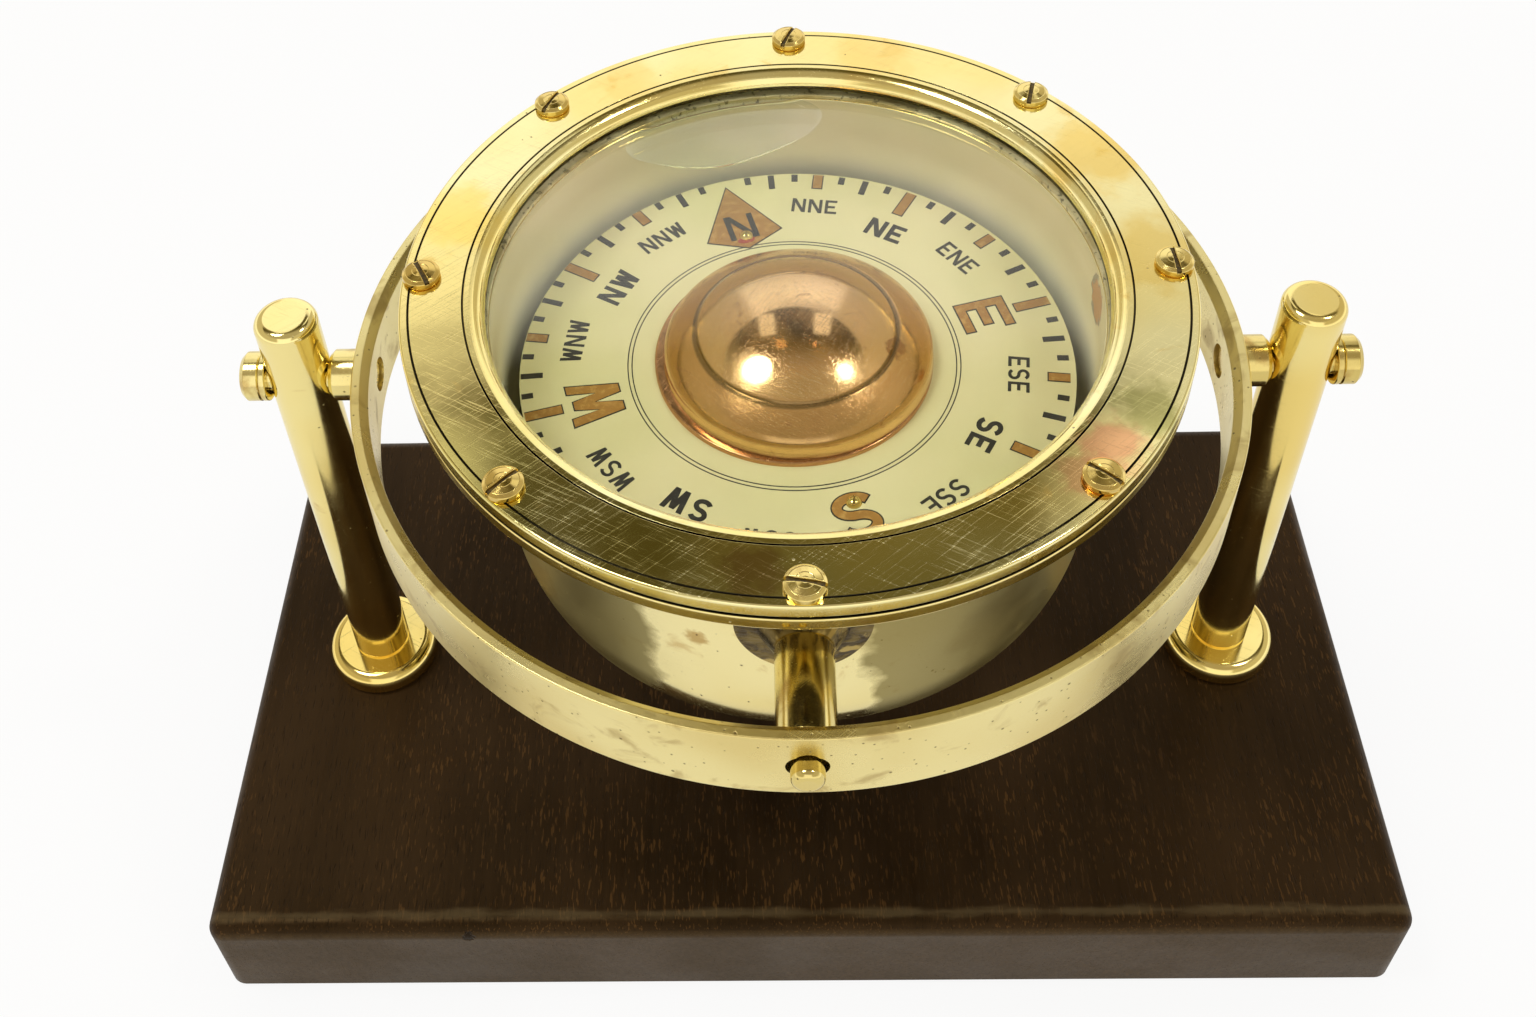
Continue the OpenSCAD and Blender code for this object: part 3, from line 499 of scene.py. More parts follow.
# The bowl's flanks outside this strip are painted olive: painted reflection of the dark board.
bowl_brass = brass("stained_bowl_brass", *BOWL_GOLDS, 0.13, 0.6, 0.16, marks=BOWL_MARKS, rubbed=(-29, 12))
post_brass = brass("polished_post_brass", *POST_GOLDS, 0.08, 0.64, 0.04, wave=0.03)
small_brass = brass("turned_pin_brass", *PIN_GOLDS, 0.13, 0.56, 0.08, wave=0.02)
screw_brass = brass("filed_screw_brass", *SCREW_GOLDS, 0.12, 0.56, 0.1, wave=0.02)
float_copper = spun_copper("spun_float_copper")
steel = worked_metal("ground_steel", "#A4A6A8", "#6A6C6E", 0.28, 1.2)
iron = worked_metal("cast_ballast_iron", "#6C6A68", "#454341", 0.5, 2.5)
solder = wiped_solder("wiped_solder")
board_wood = stained_hardwood("stained_hardwood")
paper = card_paper("varnished_card_paper")
black_ink = printing_ink("black_card_ink", "#15130F", "#2A2720")
orange_ink = printing_ink("orange_card_ink", "#9C6E26", "#B89048")
red_ink = printing_ink("red_card_ink", "#9A2E1E", "#B4604A")
beige_paint = wall_paint("aged_wall_paint")
cork = packing_cork("cork_packing")
dried_polish = old_dirt("dried_polish")
window_glass = plate_glass("plate_window_glass", 1.5)
air_film = plate_glass("air_bubble_film", 1.21)
jewel_stone = jewel("jewel_stone")


# Mesh helpers


def new_object(name, mesh, material):
    obj = bpy.data.objects.new(name, mesh)
    bpy.context.scene.collection.objects.link(obj)
    if material:
        mesh.materials.append(material)
    return obj


def rounded(outline, steps):
    """A closed outline of (r, z, radius) corners as points with outward normals, each corner rounded.

    The outline runs anticlockwise with r to the right and z up.
    """
    points = []
    count = len(outline)
    for i, (r, z, radius) in enumerate(outline):
        here = Vector((r, z))
        back = Vector(outline[i - 1][:2]) - here
        on = Vector(outline[(i + 1) % count][:2]) - here
        if radius <= 0:
            points.append((here, None))
            continue
        a, b = back.normalized(), on.normalized()
        half = a.angle(b) / 2
        reach = min(radius / math.tan(half), back.length * 0.499, on.length * 0.499)
        radius = reach * math.tan(half)
        centre = here + (a + b).normalized() * (radius / math.sin(half))
        start = here + a * reach - centre
        convex = a.x * b.y - a.y * b.x < 0
        sweep = math.pi - 2 * half
        for k in range(steps + 1):
            turn = (1 if convex else -1) * sweep * k / steps
            c, s = math.cos(turn), math.sin(turn)
            off = Vector((start.x * c - start.y * s, start.x * s + start.y * c))
            points.append((centre + off, (off if convex else -off).normalized()))
    return points


def turned(name, outline, material, steps=4, segments=192, axis="Z", at=(0, 0, 0), flip=False):
    """A turned piece: a rounded outline in millimetres swept about an axis, with exact normals.

    With axis X or Y the outline's z runs along that axis, and flip mirrors the piece to its other end.
    """
    points = rounded(outline, steps)
    count = len(points)
    turns = [(math.cos(TAU * s / segments), math.sin(TAU * s / segments)) for s in range(segments)]
    verts, norms, faces, rows = [], [], [], []
    for i, (p, n) in enumerate(points):
        if n is None:
            along = points[(i + 1) % count][0] - points[i - 1][0]
            n = Vector((along.y, -along.x)).normalized()
        if p.x < 1e-6:
            rows.append([len(verts)] * segments)
            verts.append((0, 0, p.y))
            norms.append((0, 0, 1 if n.y > 0 else -1))
        else:
            rows.append(list(range(len(verts), len(verts) + segments)))
            verts += [(p.x * c, p.x * s, p.y) for c, s in turns]
            norms += [(n.x * c, n.x * s, n.y) for c, s in turns]
    for i in range(count):
        one, two = rows[i], rows[(i + 1) % count]
        if one[0] == one[1] and two[0] == two[1]:
            continue
        for s in range(segments):
            t = (s + 1) % segments
            face = [one[s], one[t], two[t], two[s]]
            faces.append([v for k, v in enumerate(face) if v not in face[:k]])
    place = {
        "Z": Matrix.Identity(3),
        "X": Matrix(((0, 0, 1), (1, 0, 0), (0, 1, 0))),
        "Y": Matrix(((1, 0, 0), (0, 0, 1), (0, -1, 0))),
    }[axis]
    if flip:
        place = place @ Matrix(((-1, 0, 0), (0, 1, 0), (0, 0, -1)))
    shift = Vector(at)
    mesh = bpy.data.meshes.new(name)
    mesh.from_pydata([(place @ Vector(v) + shift) * MM for v in verts], [], faces)
    mesh.shade_smooth()
    mesh.normals_split_custom_set_from_vertices([place @ Vector(n) for n in norms])
    return new_object(name, mesh, material)


def baked(obj):
    """The object with its modifiers made real, as a plain mesh object of the same name."""
    bpy.context.view_layer.update()
    mesh = bpy.data.meshes.new_from_object(obj.evaluated_get(bpy.context.evaluated_depsgraph_get()))
    name = obj.name
    bpy.data.objects.remove(obj)
    mesh.name = name
    return new_object(name, mesh, None)


def rod(radius, start, end, segments=64):
    """A plain cylinder between two points in millimetres, used as a cutter."""
    start, end = Vector(start) * MM, Vector(end) * MM
    shape = bmesh.new()
    bmesh.ops.create_cone(
        shape,
        cap_ends=True,
        segments=segments,
        radius1=radius * MM,
        radius2=radius * MM,
        depth=(end - start).length,
    )
    turn = (end - start).to_track_quat("Z", "Y").to_matrix().to_4x4()
    bmesh.ops.transform(shape, matrix=Matrix.Translation((start + end) / 2) @ turn, verts=shape.verts)
    mesh = bpy.data.meshes.new("cutter")
    shape.to_mesh(mesh)
    shape.free()
    return new_object("cutter", mesh, None)


def cut(obj, cutters):
    """Cut a piece with other solids, one after another, and bake the result."""
    for tool in cutters:
        knife = obj.modifiers.new("cut", "BOOLEAN")
        knife.operation = "DIFFERENCE"
        knife.solver = "EXACT"
        knife.object = tool
    made = baked(obj)
    for tool in cutters:
        bpy.data.objects.remove(tool)
    return made


def turned_normals(obj):
    """Give a piece that was turned about Z and then cut the exact normals of its turned faces."""
    mesh = obj.data
    mesh.shade_smooth()
    normals = [Vector((0, 0, 1))] * len(mesh.loops)
    for face in mesh.polygons:
        outward = Vector((face.center.x, face.center.y, 0)).normalized()
        side = Vector((-outward.y, outward.x, 0))
        for loop in face.loop_indices:
            if abs(face.normal.dot(side)) > 0.06:
                normals[loop] = face.normal.copy()
                continue
            place = mesh.vertices[mesh.loops[loop].vertex_index].co
            here = Vector((place.x, place.y, 0)).normalized()
            normals[loop] = (here * face.normal.dot(outward) + Vector((0, 0, face.normal.z))).normalized()
    mesh.normals_split_custom_set(normals)


def soft_edges(obj, angle):
    """Smooth shading with creases kept where faces meet at more than an angle."""
    obj.data.shade_smooth()
    obj.data.set_sharp_from_angle(angle=math.radians(angle))


def gather(shape, parts):
    """Add the meshes of objects to a bmesh and remove the objects."""
    for part in parts:
        shape.from_mesh(part.data)
        bpy.data.objects.remove(part)


def prism(shape, outline, low, high):
    """Add a closed outline in millimetres to a bmesh as a thin upright solid."""
    bottom = [shape.verts.new((x * MM, y * MM, low * MM)) for x, y in outline]
    top = [shape.verts.new((x * MM, y * MM, high * MM)) for x, y in outline]
    shape.faces.new(top)
    shape.faces.new(bottom[::-1])
    for i in range(len(outline)):
        j = (i + 1) % len(outline)
        shape.faces.new((bottom[i], bottom[j], top[j], top[i]))


def made_of(name, shape, material):
    """An object from a bmesh, its many-sided faces cut into triangles."""
    shape.normal_update()
    bmesh.ops.triangulate(shape, faces=[f for f in shape.faces if len(f.verts) > 4])
    mesh = bpy.data.meshes.new(name)
    shape.to_mesh(mesh)
    shape.free()
    return new_object(name, mesh, material)


def bar(name, start, end, width, low, high):
    """A thin upright bar along X, with its limits in millimetres."""
    shape, half = bmesh.new(), width / 2
    prism(shape, [(start, -half), (end, -half), (end, half), (start, half)], low, high)
    return made_of(name, shape, None)


def belongs(piece, body, slot, *nodes):
    """Say which body a piece rides on and which CAD nodes it stands for, which are hidden. The slot is not
    used.
    """
    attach(piece, body)
    if nodes:
        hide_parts(*nodes)


def placing_tree():
    """Geometry Nodes: one copy of a piece at every input vertex, set round a circle by its bearing."""
    tree = bpy.data.node_groups.new("set_round_circle", "GeometryNodeTree")
    sockets = {}
    for name, kind in (
        ("Places", "Geometry"),
        ("Piece", "Object"),
        ("Radius", "Float"),
        ("Height", "Float"),
        ("Finish", "Material"),
    ):
        sockets[name] = tree.interface.new_socket(name, in_out="INPUT", socket_type="NodeSocket" + kind)
    tree.interface.new_socket("Pieces", in_out="OUTPUT", socket_type="NodeSocketGeometry")
    given = add(tree, "NodeGroupInput").outputs
    bearing = add(tree, "GeometryNodeInputNamedAttribute", {"Name": "bearing"}, data_type="FLOAT")
    turn = add(tree, "GeometryNodeInputNamedAttribute", {"Name": "turn"}, data_type="FLOAT")
    across = add(tree, "ShaderNodeMath", {0: bearing}, operation="COSINE")
    along = add(tree, "ShaderNodeMath", {0: bearing}, operation="SINE")
    x = add(tree, "ShaderNodeMath", {0: across, 1: given["Radius"]}, operation="MULTIPLY")
    y = add(tree, "ShaderNodeMath", {0: along, 1: given["Radius"]}, operation="MULTIPLY")
    spot = add(tree, "ShaderNodeCombineXYZ", {"X": x, "Y": y, "Z": given["Height"]})
    moved = add(tree, "GeometryNodeSetPosition", {"Geometry": given["Places"], "Position": spot})
    points = add(tree, "GeometryNodeMeshToPoints", {"Mesh": moved})
    copy = add(tree, "GeometryNodeObjectInfo", {"Object": given["Piece"]}, transform_space="ORIGINAL")
    facing = add(tree, "ShaderNodeCombineXYZ", {"Z": turn})
    placed = add(
        tree,
        "GeometryNodeInstanceOnPoints",
        {"Points": points, "Instance": copy.outputs["Geometry"], "Rotation": facing},
    )
    real = add(tree, "GeometryNodeRealizeInstances", {"Geometry": placed})
    finished = add(tree, "GeometryNodeSetMaterial", {"Geometry": real, "Material": given["Finish"]})
    add(tree, "NodeGroupOutput", {"Pieces": finished})
    return tree, {name: socket.identifier for name, socket in sockets.items()}


PLACING, PLACING_INPUT = placing_tree()


def set_round(name, piece, bearings, turns, radius, height, finish):
    """Copies of a piece round a circle at bearings in degrees, each turned by its own angle, as one mesh."""
    mesh = bpy.data.meshes.new(name)
    mesh.from_pydata([(0, 0, 0)] * len(bearings), [], [])
    for key, degrees in (("bearing", bearings), ("turn", turns)):
        values = mesh.attributes.new(key, "FLOAT", "POINT")
        values.data.foreach_set("value", [math.radians(d) for d in degrees])
    obj = new_object(name, mesh, None)
    spread = obj.modifiers.new("spread", "NODES")
    spread.node_group = PLACING
    given = {"Piece": piece, "Radius": radius * MM, "Height": height * MM, "Finish": finish}
    for key, value in given.items():
        spread[PLACING_INPUT[key]] = value
    made = baked(obj)
    bpy.data.objects.remove(piece)
    if not made.data.materials:
        made.data.materials.append(finish)
    return made


# Stand


def make_board():
    """The board: upright corners and top edges rounded over by hand, counterbores underneath."""
    shape = bmesh.new()
    bmesh.ops.create_cube(shape, size=1)
    size = Matrix.Diagonal((BOARD_W * MM, BOARD_D * MM, BOARD_T * MM, 1))
    middle = Matrix.Translation((0, -BOARD_FORWARD * MM, BOARD_T / 2 * MM))
    bmesh.ops.transform(shape, matrix=middle @ size, verts=shape.verts)
    for rounding, steps, chosen in (
        (4, 8, lambda a, b: abs(a - b) > MM),
        (3.9, 8, lambda a, b: min(a, b) > (BOARD_T - 0.01) * MM),
        (0.7, 3, lambda a, b: max(a, b) < 0.01 * MM),
    ):
        edges = [e for e in shape.edges if chosen(*(v.co.z for v in e.verts))]
        bmesh.ops.bevel(shape, geom=edges, offset=rounding * MM, segments=steps, affect="EDGES", profile=0.5)
    mesh = bpy.data.meshes.new("board")
    shape.to_mesh(mesh)
    shape.free()
    bore, counterbore, depth = 3.3, 8.6, 9
    cutters = []
    for x in (-POST_X, POST_X):
        cutters.append(rod(bore, (x, 0, -5), (x, 0, BOARD_T + 5)))
        cutters.append(rod(counterbore, (x, 0, -5), (x, 0, depth)))
    board = cut(new_object("board", mesh, board_wood), cutters)
    soft_edges(board, 40)
    even = board.modifiers.new("even_shading", "WEIGHTED_NORMAL")
    even.keep_sharp = True
    belongs(baked(board), "stand", "board_wood", "base_board")


def make_posts():
    """The round posts and the discs that they stand on."""
    foot_top = BOARD_T + FOOT_T
    post = [
        (0, foot_top, 0),
        (POST_R - 0.4, foot_top, 0.1),
        (POST_R, foot_top + 0.6, 0.3),
        (POST_R, POST_TOP, POST_ROUND),
        (0, POST_TOP, 0),
    ]
    foot = [
        (0, BOARD_T, 0),
        (FOOT_R, BOARD_T, FOOT_LOW_ROUND),
        (FOOT_R, foot_top, FOOT_TOP_ROUND),
        (0, foot_top, 0),
    ]
    for x, word in ((-POST_X, "left"), (POST_X, "right")):
        made = turned("turned_post_" + word, post, post_brass, 8, 96, at=(x, 0, 0))
        belongs(made, "stand", "post_brass", "post_" + word)
        made = turned("turned_foot_" + word, foot, post_brass, 12, 128, at=(x, 0, 0))
        belongs(made, "stand", "post_brass", "post_foot_" + word)


def make_pivots():
    """Knob-headed pins, their washers, and the collars between ring and posts, as places along X."""
    pin_end, collar_in, collar_out, washer_in = 92.55, 95.75, 102.25, 116.1
    hole, collar_r, washer_out = PIN_R + 0.05, 5.7, KNOB_IN - 0.05
    pin = [
        (0, pin_end, 0),
        (PIN_R - 0.6, pin_end, 0.2),
        (PIN_R, pin_end + 0.7, 0.3),
        (PIN_R, KNOB_IN, 0),
        (KNOB_R - 0.3, KNOB_IN, 0.1),
        (KNOB_R, KNOB_IN + 0.3, 0.1),
        (KNOB_R, KNOB_OUT - 1.0, 0.35),
        (KNOB_R - 1.0, KNOB_OUT, 0.35),
        (0, KNOB_OUT, 0),
    ]
    collar = [
        (hole, collar_in, 0.1),
        (collar_r, collar_in, 0.4),
        (collar_r, collar_out - 1, 0.3),
        (collar_r - 1, collar_out, 0.2),
        (hole, collar_out, 0.1),
    ]
    washer = [(hole, washer_in, 0.1), (KNOB_R, washer_in, 0.3)]
    washer += [(KNOB_R, washer_out, 0.3), (hole, washer_out, 0.1)]
    washers = []
    for mirrored, word in ((True, "left"), (False, "right")):
        made = turned("knob_pin_" + word, pin, small_brass, 4, 96, "X", HUB, mirrored)
        belongs(made, "stand", "pivot_brass", "pivot_pin_" + word)
        made = turned("ring_collar_" + word, collar, small_brass, 4, 96, "X", HUB, mirrored)
        belongs(made, "stand", "pivot_brass", "pivot_collar_" + word)
        washers.append(turned("washer", washer, None, 4, 96, "X", HUB, mirrored))
    shape = bmesh.new()
    gather(shape, washers)
    pair = made_of("knob_washers", shape, small_brass)
    soft_edges(pair, 30)
    belongs(pair, "stand", "pivot_brass", "pivot_washers")


make_board()
make_posts()
make_pivots()


# Gimbal ring


def make_ring():
    """The ring with two pin holes at its sides, and worn holes with an oil notch at front and back."""
    outline = [
        (RING_IN, RING_BEVEL - RING_HALF, 0.5),
        (RING_IN + RING_BEVEL, -RING_HALF, 0.4),
        (RING_OUT, -RING_HALF, 0.35),
        (RING_OUT, RING_HALF, 0.35),
        (RING_IN + RING_BEVEL, RING_HALF, 0.4),
        (RING_IN, RING_HALF - RING_BEVEL, 0.5),
    ]
    ring = turned("band_ring", outline, ring_brass, 4, 360, at=HUB)
    recess_r, recess_end, notch = 3.8, RING_IN + 1.2, AXIS_Z + HOLE_R + NOTCH_RISE - NOTCH_R
    cutters = []
    for side in (-1, 1):
        inner, outer = side * 89, side * 98
        cutters.append(rod(HOLE_R, (inner, 0, AXIS_Z), (outer, 0, AXIS_Z), 96))
        cutters.append(rod(recess_r, (inner, 0, AXIS_Z), (side * recess_end, 0, AXIS_Z), 96))
        for x in (-HOLE_WEAR, 0, HOLE_WEAR):
            cutters.append(rod(HOLE_R, (x, inner, AXIS_Z), (x, outer, AXIS_Z), 96))
        cutters.append(rod(NOTCH_R, (0, inner, notch), (0, outer, notch)))
    ring = cut(ring, cutters)
    turned_normals(ring)
    belongs(ring, "gimbal", "ring_brass", "gimbal_ring")


make_ring()


# Bowl


def make_bowl():
    """The spun shell, and the film of paint on its wall, which runs up over the flange's ledge."""
    wall = BOWL_R - BOWL_IN
    shell = [
        (0, BOWL_LOW, 0),
        (BOWL_R, BOWL_LOW, BOWL_ROUND),
        (BOWL_R, BOWL_HIGH, 0.2),
        (BOWL_IN, BOWL_HIGH, 0.2),
        (BOWL_IN, BOWL_LOW + wall, BOWL_ROUND - wall),
        (0, BOWL_LOW + wall, 0),
    ]
    shell = turned("spun_bowl", shell, bowl_brass, 24, 256, at=HUB)
    belongs(shell, "bowl", "bowl_brass", "bowl_shell")
    outer, inner, low, high = BOWL_IN - 0.02, BOWL_IN - 0.25, BOWL_HIGH - 40, BOWL_HIGH + 2.7
    film = [(outer, low, 0), (outer, high, 0.05), (inner, high, 0.05), (inner, low, 0)]
    belongs(turned("wall_paint_film", film, beige_paint, 2, 192, at=HUB), "bowl", "card_cream")


def make_flange():
    """The lower rim disc with its collar round the bowl and two punch marks on its front edge."""
    seat, shelf = BOWL_R + 0.05, BOWL_HIGH + 0.05
    outline = [
        (seat, COLLAR_LOW, 0.2),
        (COLLAR_R, COLLAR_LOW, 0.7),
        (COLLAR_R, FLANGE_LOW, 0.6),
        (RIM_R, FLANGE_LOW, 0.5),
        (RIM_R, FLANGE_TOP, 0.5),
        (SEAT_R, FLANGE_TOP, 0.2),
        (SEAT_R, LEDGE_TOP, 0.1),
        (BOWL_IN, LEDGE_TOP, 0.2),
        (BOWL_IN, shelf, 0.1),
        (seat, shelf, 0.1),
    ]
    flange = turned("rim_flange", outline, flange_brass, 4, 360, at=HUB)
    punch_r, punch_z = 0.75, AXIS_Z + 24.65
    start, end = -RIM_R - 2, 0.8 - RIM_R
    cutters = [rod(punch_r, (x, start, punch_z), (x, end, punch_z), 24) for x in (-3.45, -0.49)]
    flange = cut(flange, cutters)
    turned_normals(flange)
    belongs(flange, "bowl", "bowl_brass", "bowl_flange")


def make_trunnions():
    """Square-shouldered trunnions that step down to a pin with a ball end."""
    boss_in, boss_r, boss_end, ball_end = BOWL_R - 1.5, 5.75, 91.05, 95.95 + PIN_R
    outline = [
        (0, boss_in, 0),
        (boss_r, boss_in, 0),
        (boss_r, boss_end, 0.45),
        (PIN_R, boss_end, 0.3),
        (PIN_R, ball_end, PIN_R - 0.02),
        (0, ball_end, 0),
    ]
    for mirrored, word in ((True, "front"), (False, "back")):
        made = turned("ball_trunnion_" + word, outline, small_brass, 10, 96, "Y", HUB, mirrored)
        belongs(made, "bowl", "trunnion_brass", "trunnion_" + word)


def make_bezel():
    """The upper rim disc: soft inner edge, packing groove and scribed circle."""
    lip_low, step = GLASS_TOP + 0.3, WINDOW_R + 1.6
    outline = [
        (WINDOW_R, lip_low, 0.25),
        (step, lip_low, 0.1),
        (step, BEZEL_LOW, 0.1),
        (RIM_R, BEZEL_LOW, 0.5),
        (RIM_R, BEZEL_TOP, 0.6),
        (SCRIBE_R + 0.2, BEZEL_TOP, 0.05),
        (SCRIBE_R, BEZEL_TOP - 0.3, 0.05),
        (SCRIBE_R - 0.2, BEZEL_TOP, 0.05),
        (BEAD_R + 0.2, BEZEL_TOP, 0.08),
        (BEAD_R + 0.1, BEZEL_TOP - 0.5, 0.05),
        (BEAD_R - 0.1, BEZEL_TOP - 0.5, 0.05),
        (BEAD_R - 0.2, BEZEL_TOP, 0.1),
    ]
    wide, tall = LIP_R - WINDOW_R, BEZEL_TOP - GLASS_TOP - 0.8
    for k in range(1, 17):
        angle = math.pi / 2 * k / 17
        outline.append((LIP_R - wide * math.sin(angle), BEZEL_TOP - tall + tall * math.cos(angle), 0.01))
    bezel = turned("window_bezel", outline, bezel_brass, 8, 384, at=HUB)
    belongs(bezel, "bowl", "bezel_brass", "bezel_ring")


def screw_head():
    """A slotted round head: undercut foot, short upright edge, low domed top with two turned steps."""
    undercut, sunk = HEAD_R - 0.35, -0.4
    outline = [
        (0, sunk, 0),
        (undercut, sunk, 0),
        (undercut, 0.25, 0.05),
        (HEAD_R, 0.4, 0.1),
        (HEAD_R, HEAD_H * 0.6, 0.35),
        (HEAD_R * 0.82, HEAD_H * 0.84, 0.5),
        (HEAD_R * 0.78, HEAD_H * 0.82, 0.1),
        (HEAD_R * 0.45, HEAD_H * 0.96, 1.0),
        (HEAD_R * 0.42, HEAD_H * 0.94, 0.1),
        (HEAD_R * 0.2, HEAD_H, 0.5),
        (0, HEAD_H, 0),
    ]
    head = turned("bezel_screw", outline, screw_brass, 6, 48)
    slot = bar("slot_bar", -HEAD_R - 1, HEAD_R + 1, SLOT_W, HEAD_H - SLOT_DEPTH, HEAD_H + 1)
    head = cut(head, [slot])
    soft_edges(head, 35)
    return head


def make_bezel_screws():
    """Eight screws, their slots turned as they came to rest, each slot with dried polish in its foot."""
    slots = [-11, -39, -87, 76, 67, 65, -62, 45]
    bearings = [-90 + 45 * i for i in range(len(slots))]
    top, floor, reach = AXIS_Z + BEZEL_TOP, HEAD_H - SLOT_DEPTH, HEAD_R - 0.5
    made = set_round("slotted_bezel_screws", screw_head(), bearings, slots, SCREW_R, top, screw_brass)
    belongs(made, "bowl", "screw_brass", "bezel_screws")
    dirt = bar("slot_dirt_bar", -reach, reach, SLOT_W - 0.02, floor, floor + 0.3)
    made = set_round("slot_dirt", dirt, bearings, slots, SCREW_R, top, dried_polish)
    belongs(made, "bowl", "screw_brass")


def make_window():
    """The plate of glass between the two packing rings, its edges eased."""
    outline = [(0, GLASS_LOW, 0), (GLASS_R, GLASS_LOW, 0.4), (GLASS_R, GLASS_TOP, 0.4), (0, GLASS_TOP, 0)]
    plate = turned("window_plate", outline, window_glass, 3, 192, at=HUB)
    belongs(plate, "bowl", "window_clear", "window_glass")


def make_bubble():
    """The air bubble that lies under the window at the upper left: a flat body with a soft rounded edge."""
    middle = Vector((-15.5, 51.5))
    corners = [(2.4, 63.0), (7.4, 57.8), (4.0, 50.5), (-4.9, 44.6), (-13.5, 40.6), (-22.0, 39.6)]
    corners += [(-31.0, 41.0), (-37.0, 44.1), (-37.5, 49.0), (-32.0, 55.5), (-21.3, 60.9), (-9.0, 63.6)]
    edge, count = [], len(corners)
    for i in range(count):
        a, b, c, d = (Vector(corners[(i + k) % count]) for k in (-1, 0, 1, 2))
        for k in range(8):
            t = k / 8
            bend = (2 * a - 5 * b + 4 * c - d) * t * t + (3 * b - a - 3 * c + d) * t**3
            edge.append((2 * b + (c - a) * t + bend) / 2)
    ceiling, depth, narrow, steps, size = AXIS_Z + GLASS_LOW - 0.1, 1.1, 14, 8, len(edge)
    verts, faces, rows = [], [], []
    for step in range(steps + 1):
        angle = math.pi / 2 * step / steps
        share, down = 1 - depth * math.sin(angle) / narrow, depth * (1 - math.cos(angle))
        rows.append(len(verts))
        verts += [(*((middle + (place - middle) * share) * MM), (ceiling - down) * MM) for place in edge]
    for one, two in zip(rows, rows[1:]):
        faces += [(one + k, two + k, two + (k + 1) % size, one + (k + 1) % size) for k in range(size)]
    faces += [tuple(range(size)), tuple(rows[-1] + k for k in reversed(range(size)))]
    mesh = bpy.data.meshes.new("air_bubble")
    mesh.from_pydata(verts, [], faces)
    bubble = new_object("air_bubble", mesh, air_film)
    soft_edges(bubble, 50)
    belongs(bubble, "bowl", "window_clear")


make_bubble()
make_bowl()
make_flange()
make_trunnions()
make_bezel()
make_bezel_screws()
make_window()


# Card and float


def shoulder(t):
    """A point on the dome's shoulder, from the skirt (0) to the seam (1), where it nears the cap's slope."""
    slope = math.radians(30)
    seam, foot = Vector((CAP_R, DOME_TOP)), Vector((SKIRT_R, SKIRT_H))
    near_foot = foot + Vector((0, 1.4))
    near_seam = seam + Vector((math.cos(slope), -math.sin(slope))) * 6.0
    rest = 1 - t
    return tuple(rest**3 * foot + 3 * rest**2 * t * near_foot + 3 * rest * t**2 * near_seam + t**3 * seam)


def make_float():
    """The copper float's top: a lip on the card, a dome with an upright skirt that sits a little off
    the lip's centre, and the raised cap."""
    edge, lip_top, sunk = DOME_R - 0.1, 1.15, 0.9
    lip = [(0, 0, 0), (edge, 0, 0), (edge, 1.1, 0.45), (27, lip_top, 0), (0, lip_top, 0)]
    dome = [(0, sunk, 0), (SKIRT_R + 0.25, sunk, 0)] + [(*shoulder(k / 24), 0) for k in range(25)]
    dome.append((0, DOME_TOP, 0))
    shape = bmesh.new()
    for outline, (x, y) in ((lip, LIP_AT), (dome, DOME_AT)):
        gather(shape, [turned("float_part", outline, None, 16, 192, at=(x, y, CARD_FACE))])
    made = made_of("copper_float_dome", shape, float_copper)
    soft_edges(made, 30)
    belongs(made, "card", "float_copper", "float_dome")
    sphere = (CAP_R**2 + CAP_RISE**2) / (2 * CAP_RISE)
    centre, half = DOME_TOP + CAP_RISE - sphere, math.asin(CAP_R / sphere)
    cap = [(0, DOME_TOP - 0.3, 0), (CAP_R - 0.1, DOME_TOP - 0.3, 0), (CAP_R, DOME_TOP + 0.02, 0)]
    for k in range(1, 24):
        angle = half * (1 - k / 24)
        cap.append((sphere * math.sin(angle), centre + sphere * math.cos(angle), 0))
    cap.append((0, DOME_TOP + CAP_RISE, 0))
    cap = turned("copper_float_cap", cap, float_copper, 4, 192, at=(*CAP_AT, CARD_FACE))
    belongs(cap, "card", "float_copper", "float_cap")


make_float()


def crossing(p, q, r, s):
    """Where the line through p and q meets the line through r and s."""
    a, b = (q[0] - p[0], q[1] - p[1]), (s[0] - r[0], s[1] - r[1])
    t = ((r[0] - p[0]) * b[1] - (r[1] - p[1]) * b[0]) / (a[0] * b[1] - a[1] * b[0])
    return (p[0] + a[0] * t, p[1] + a[1] * t)


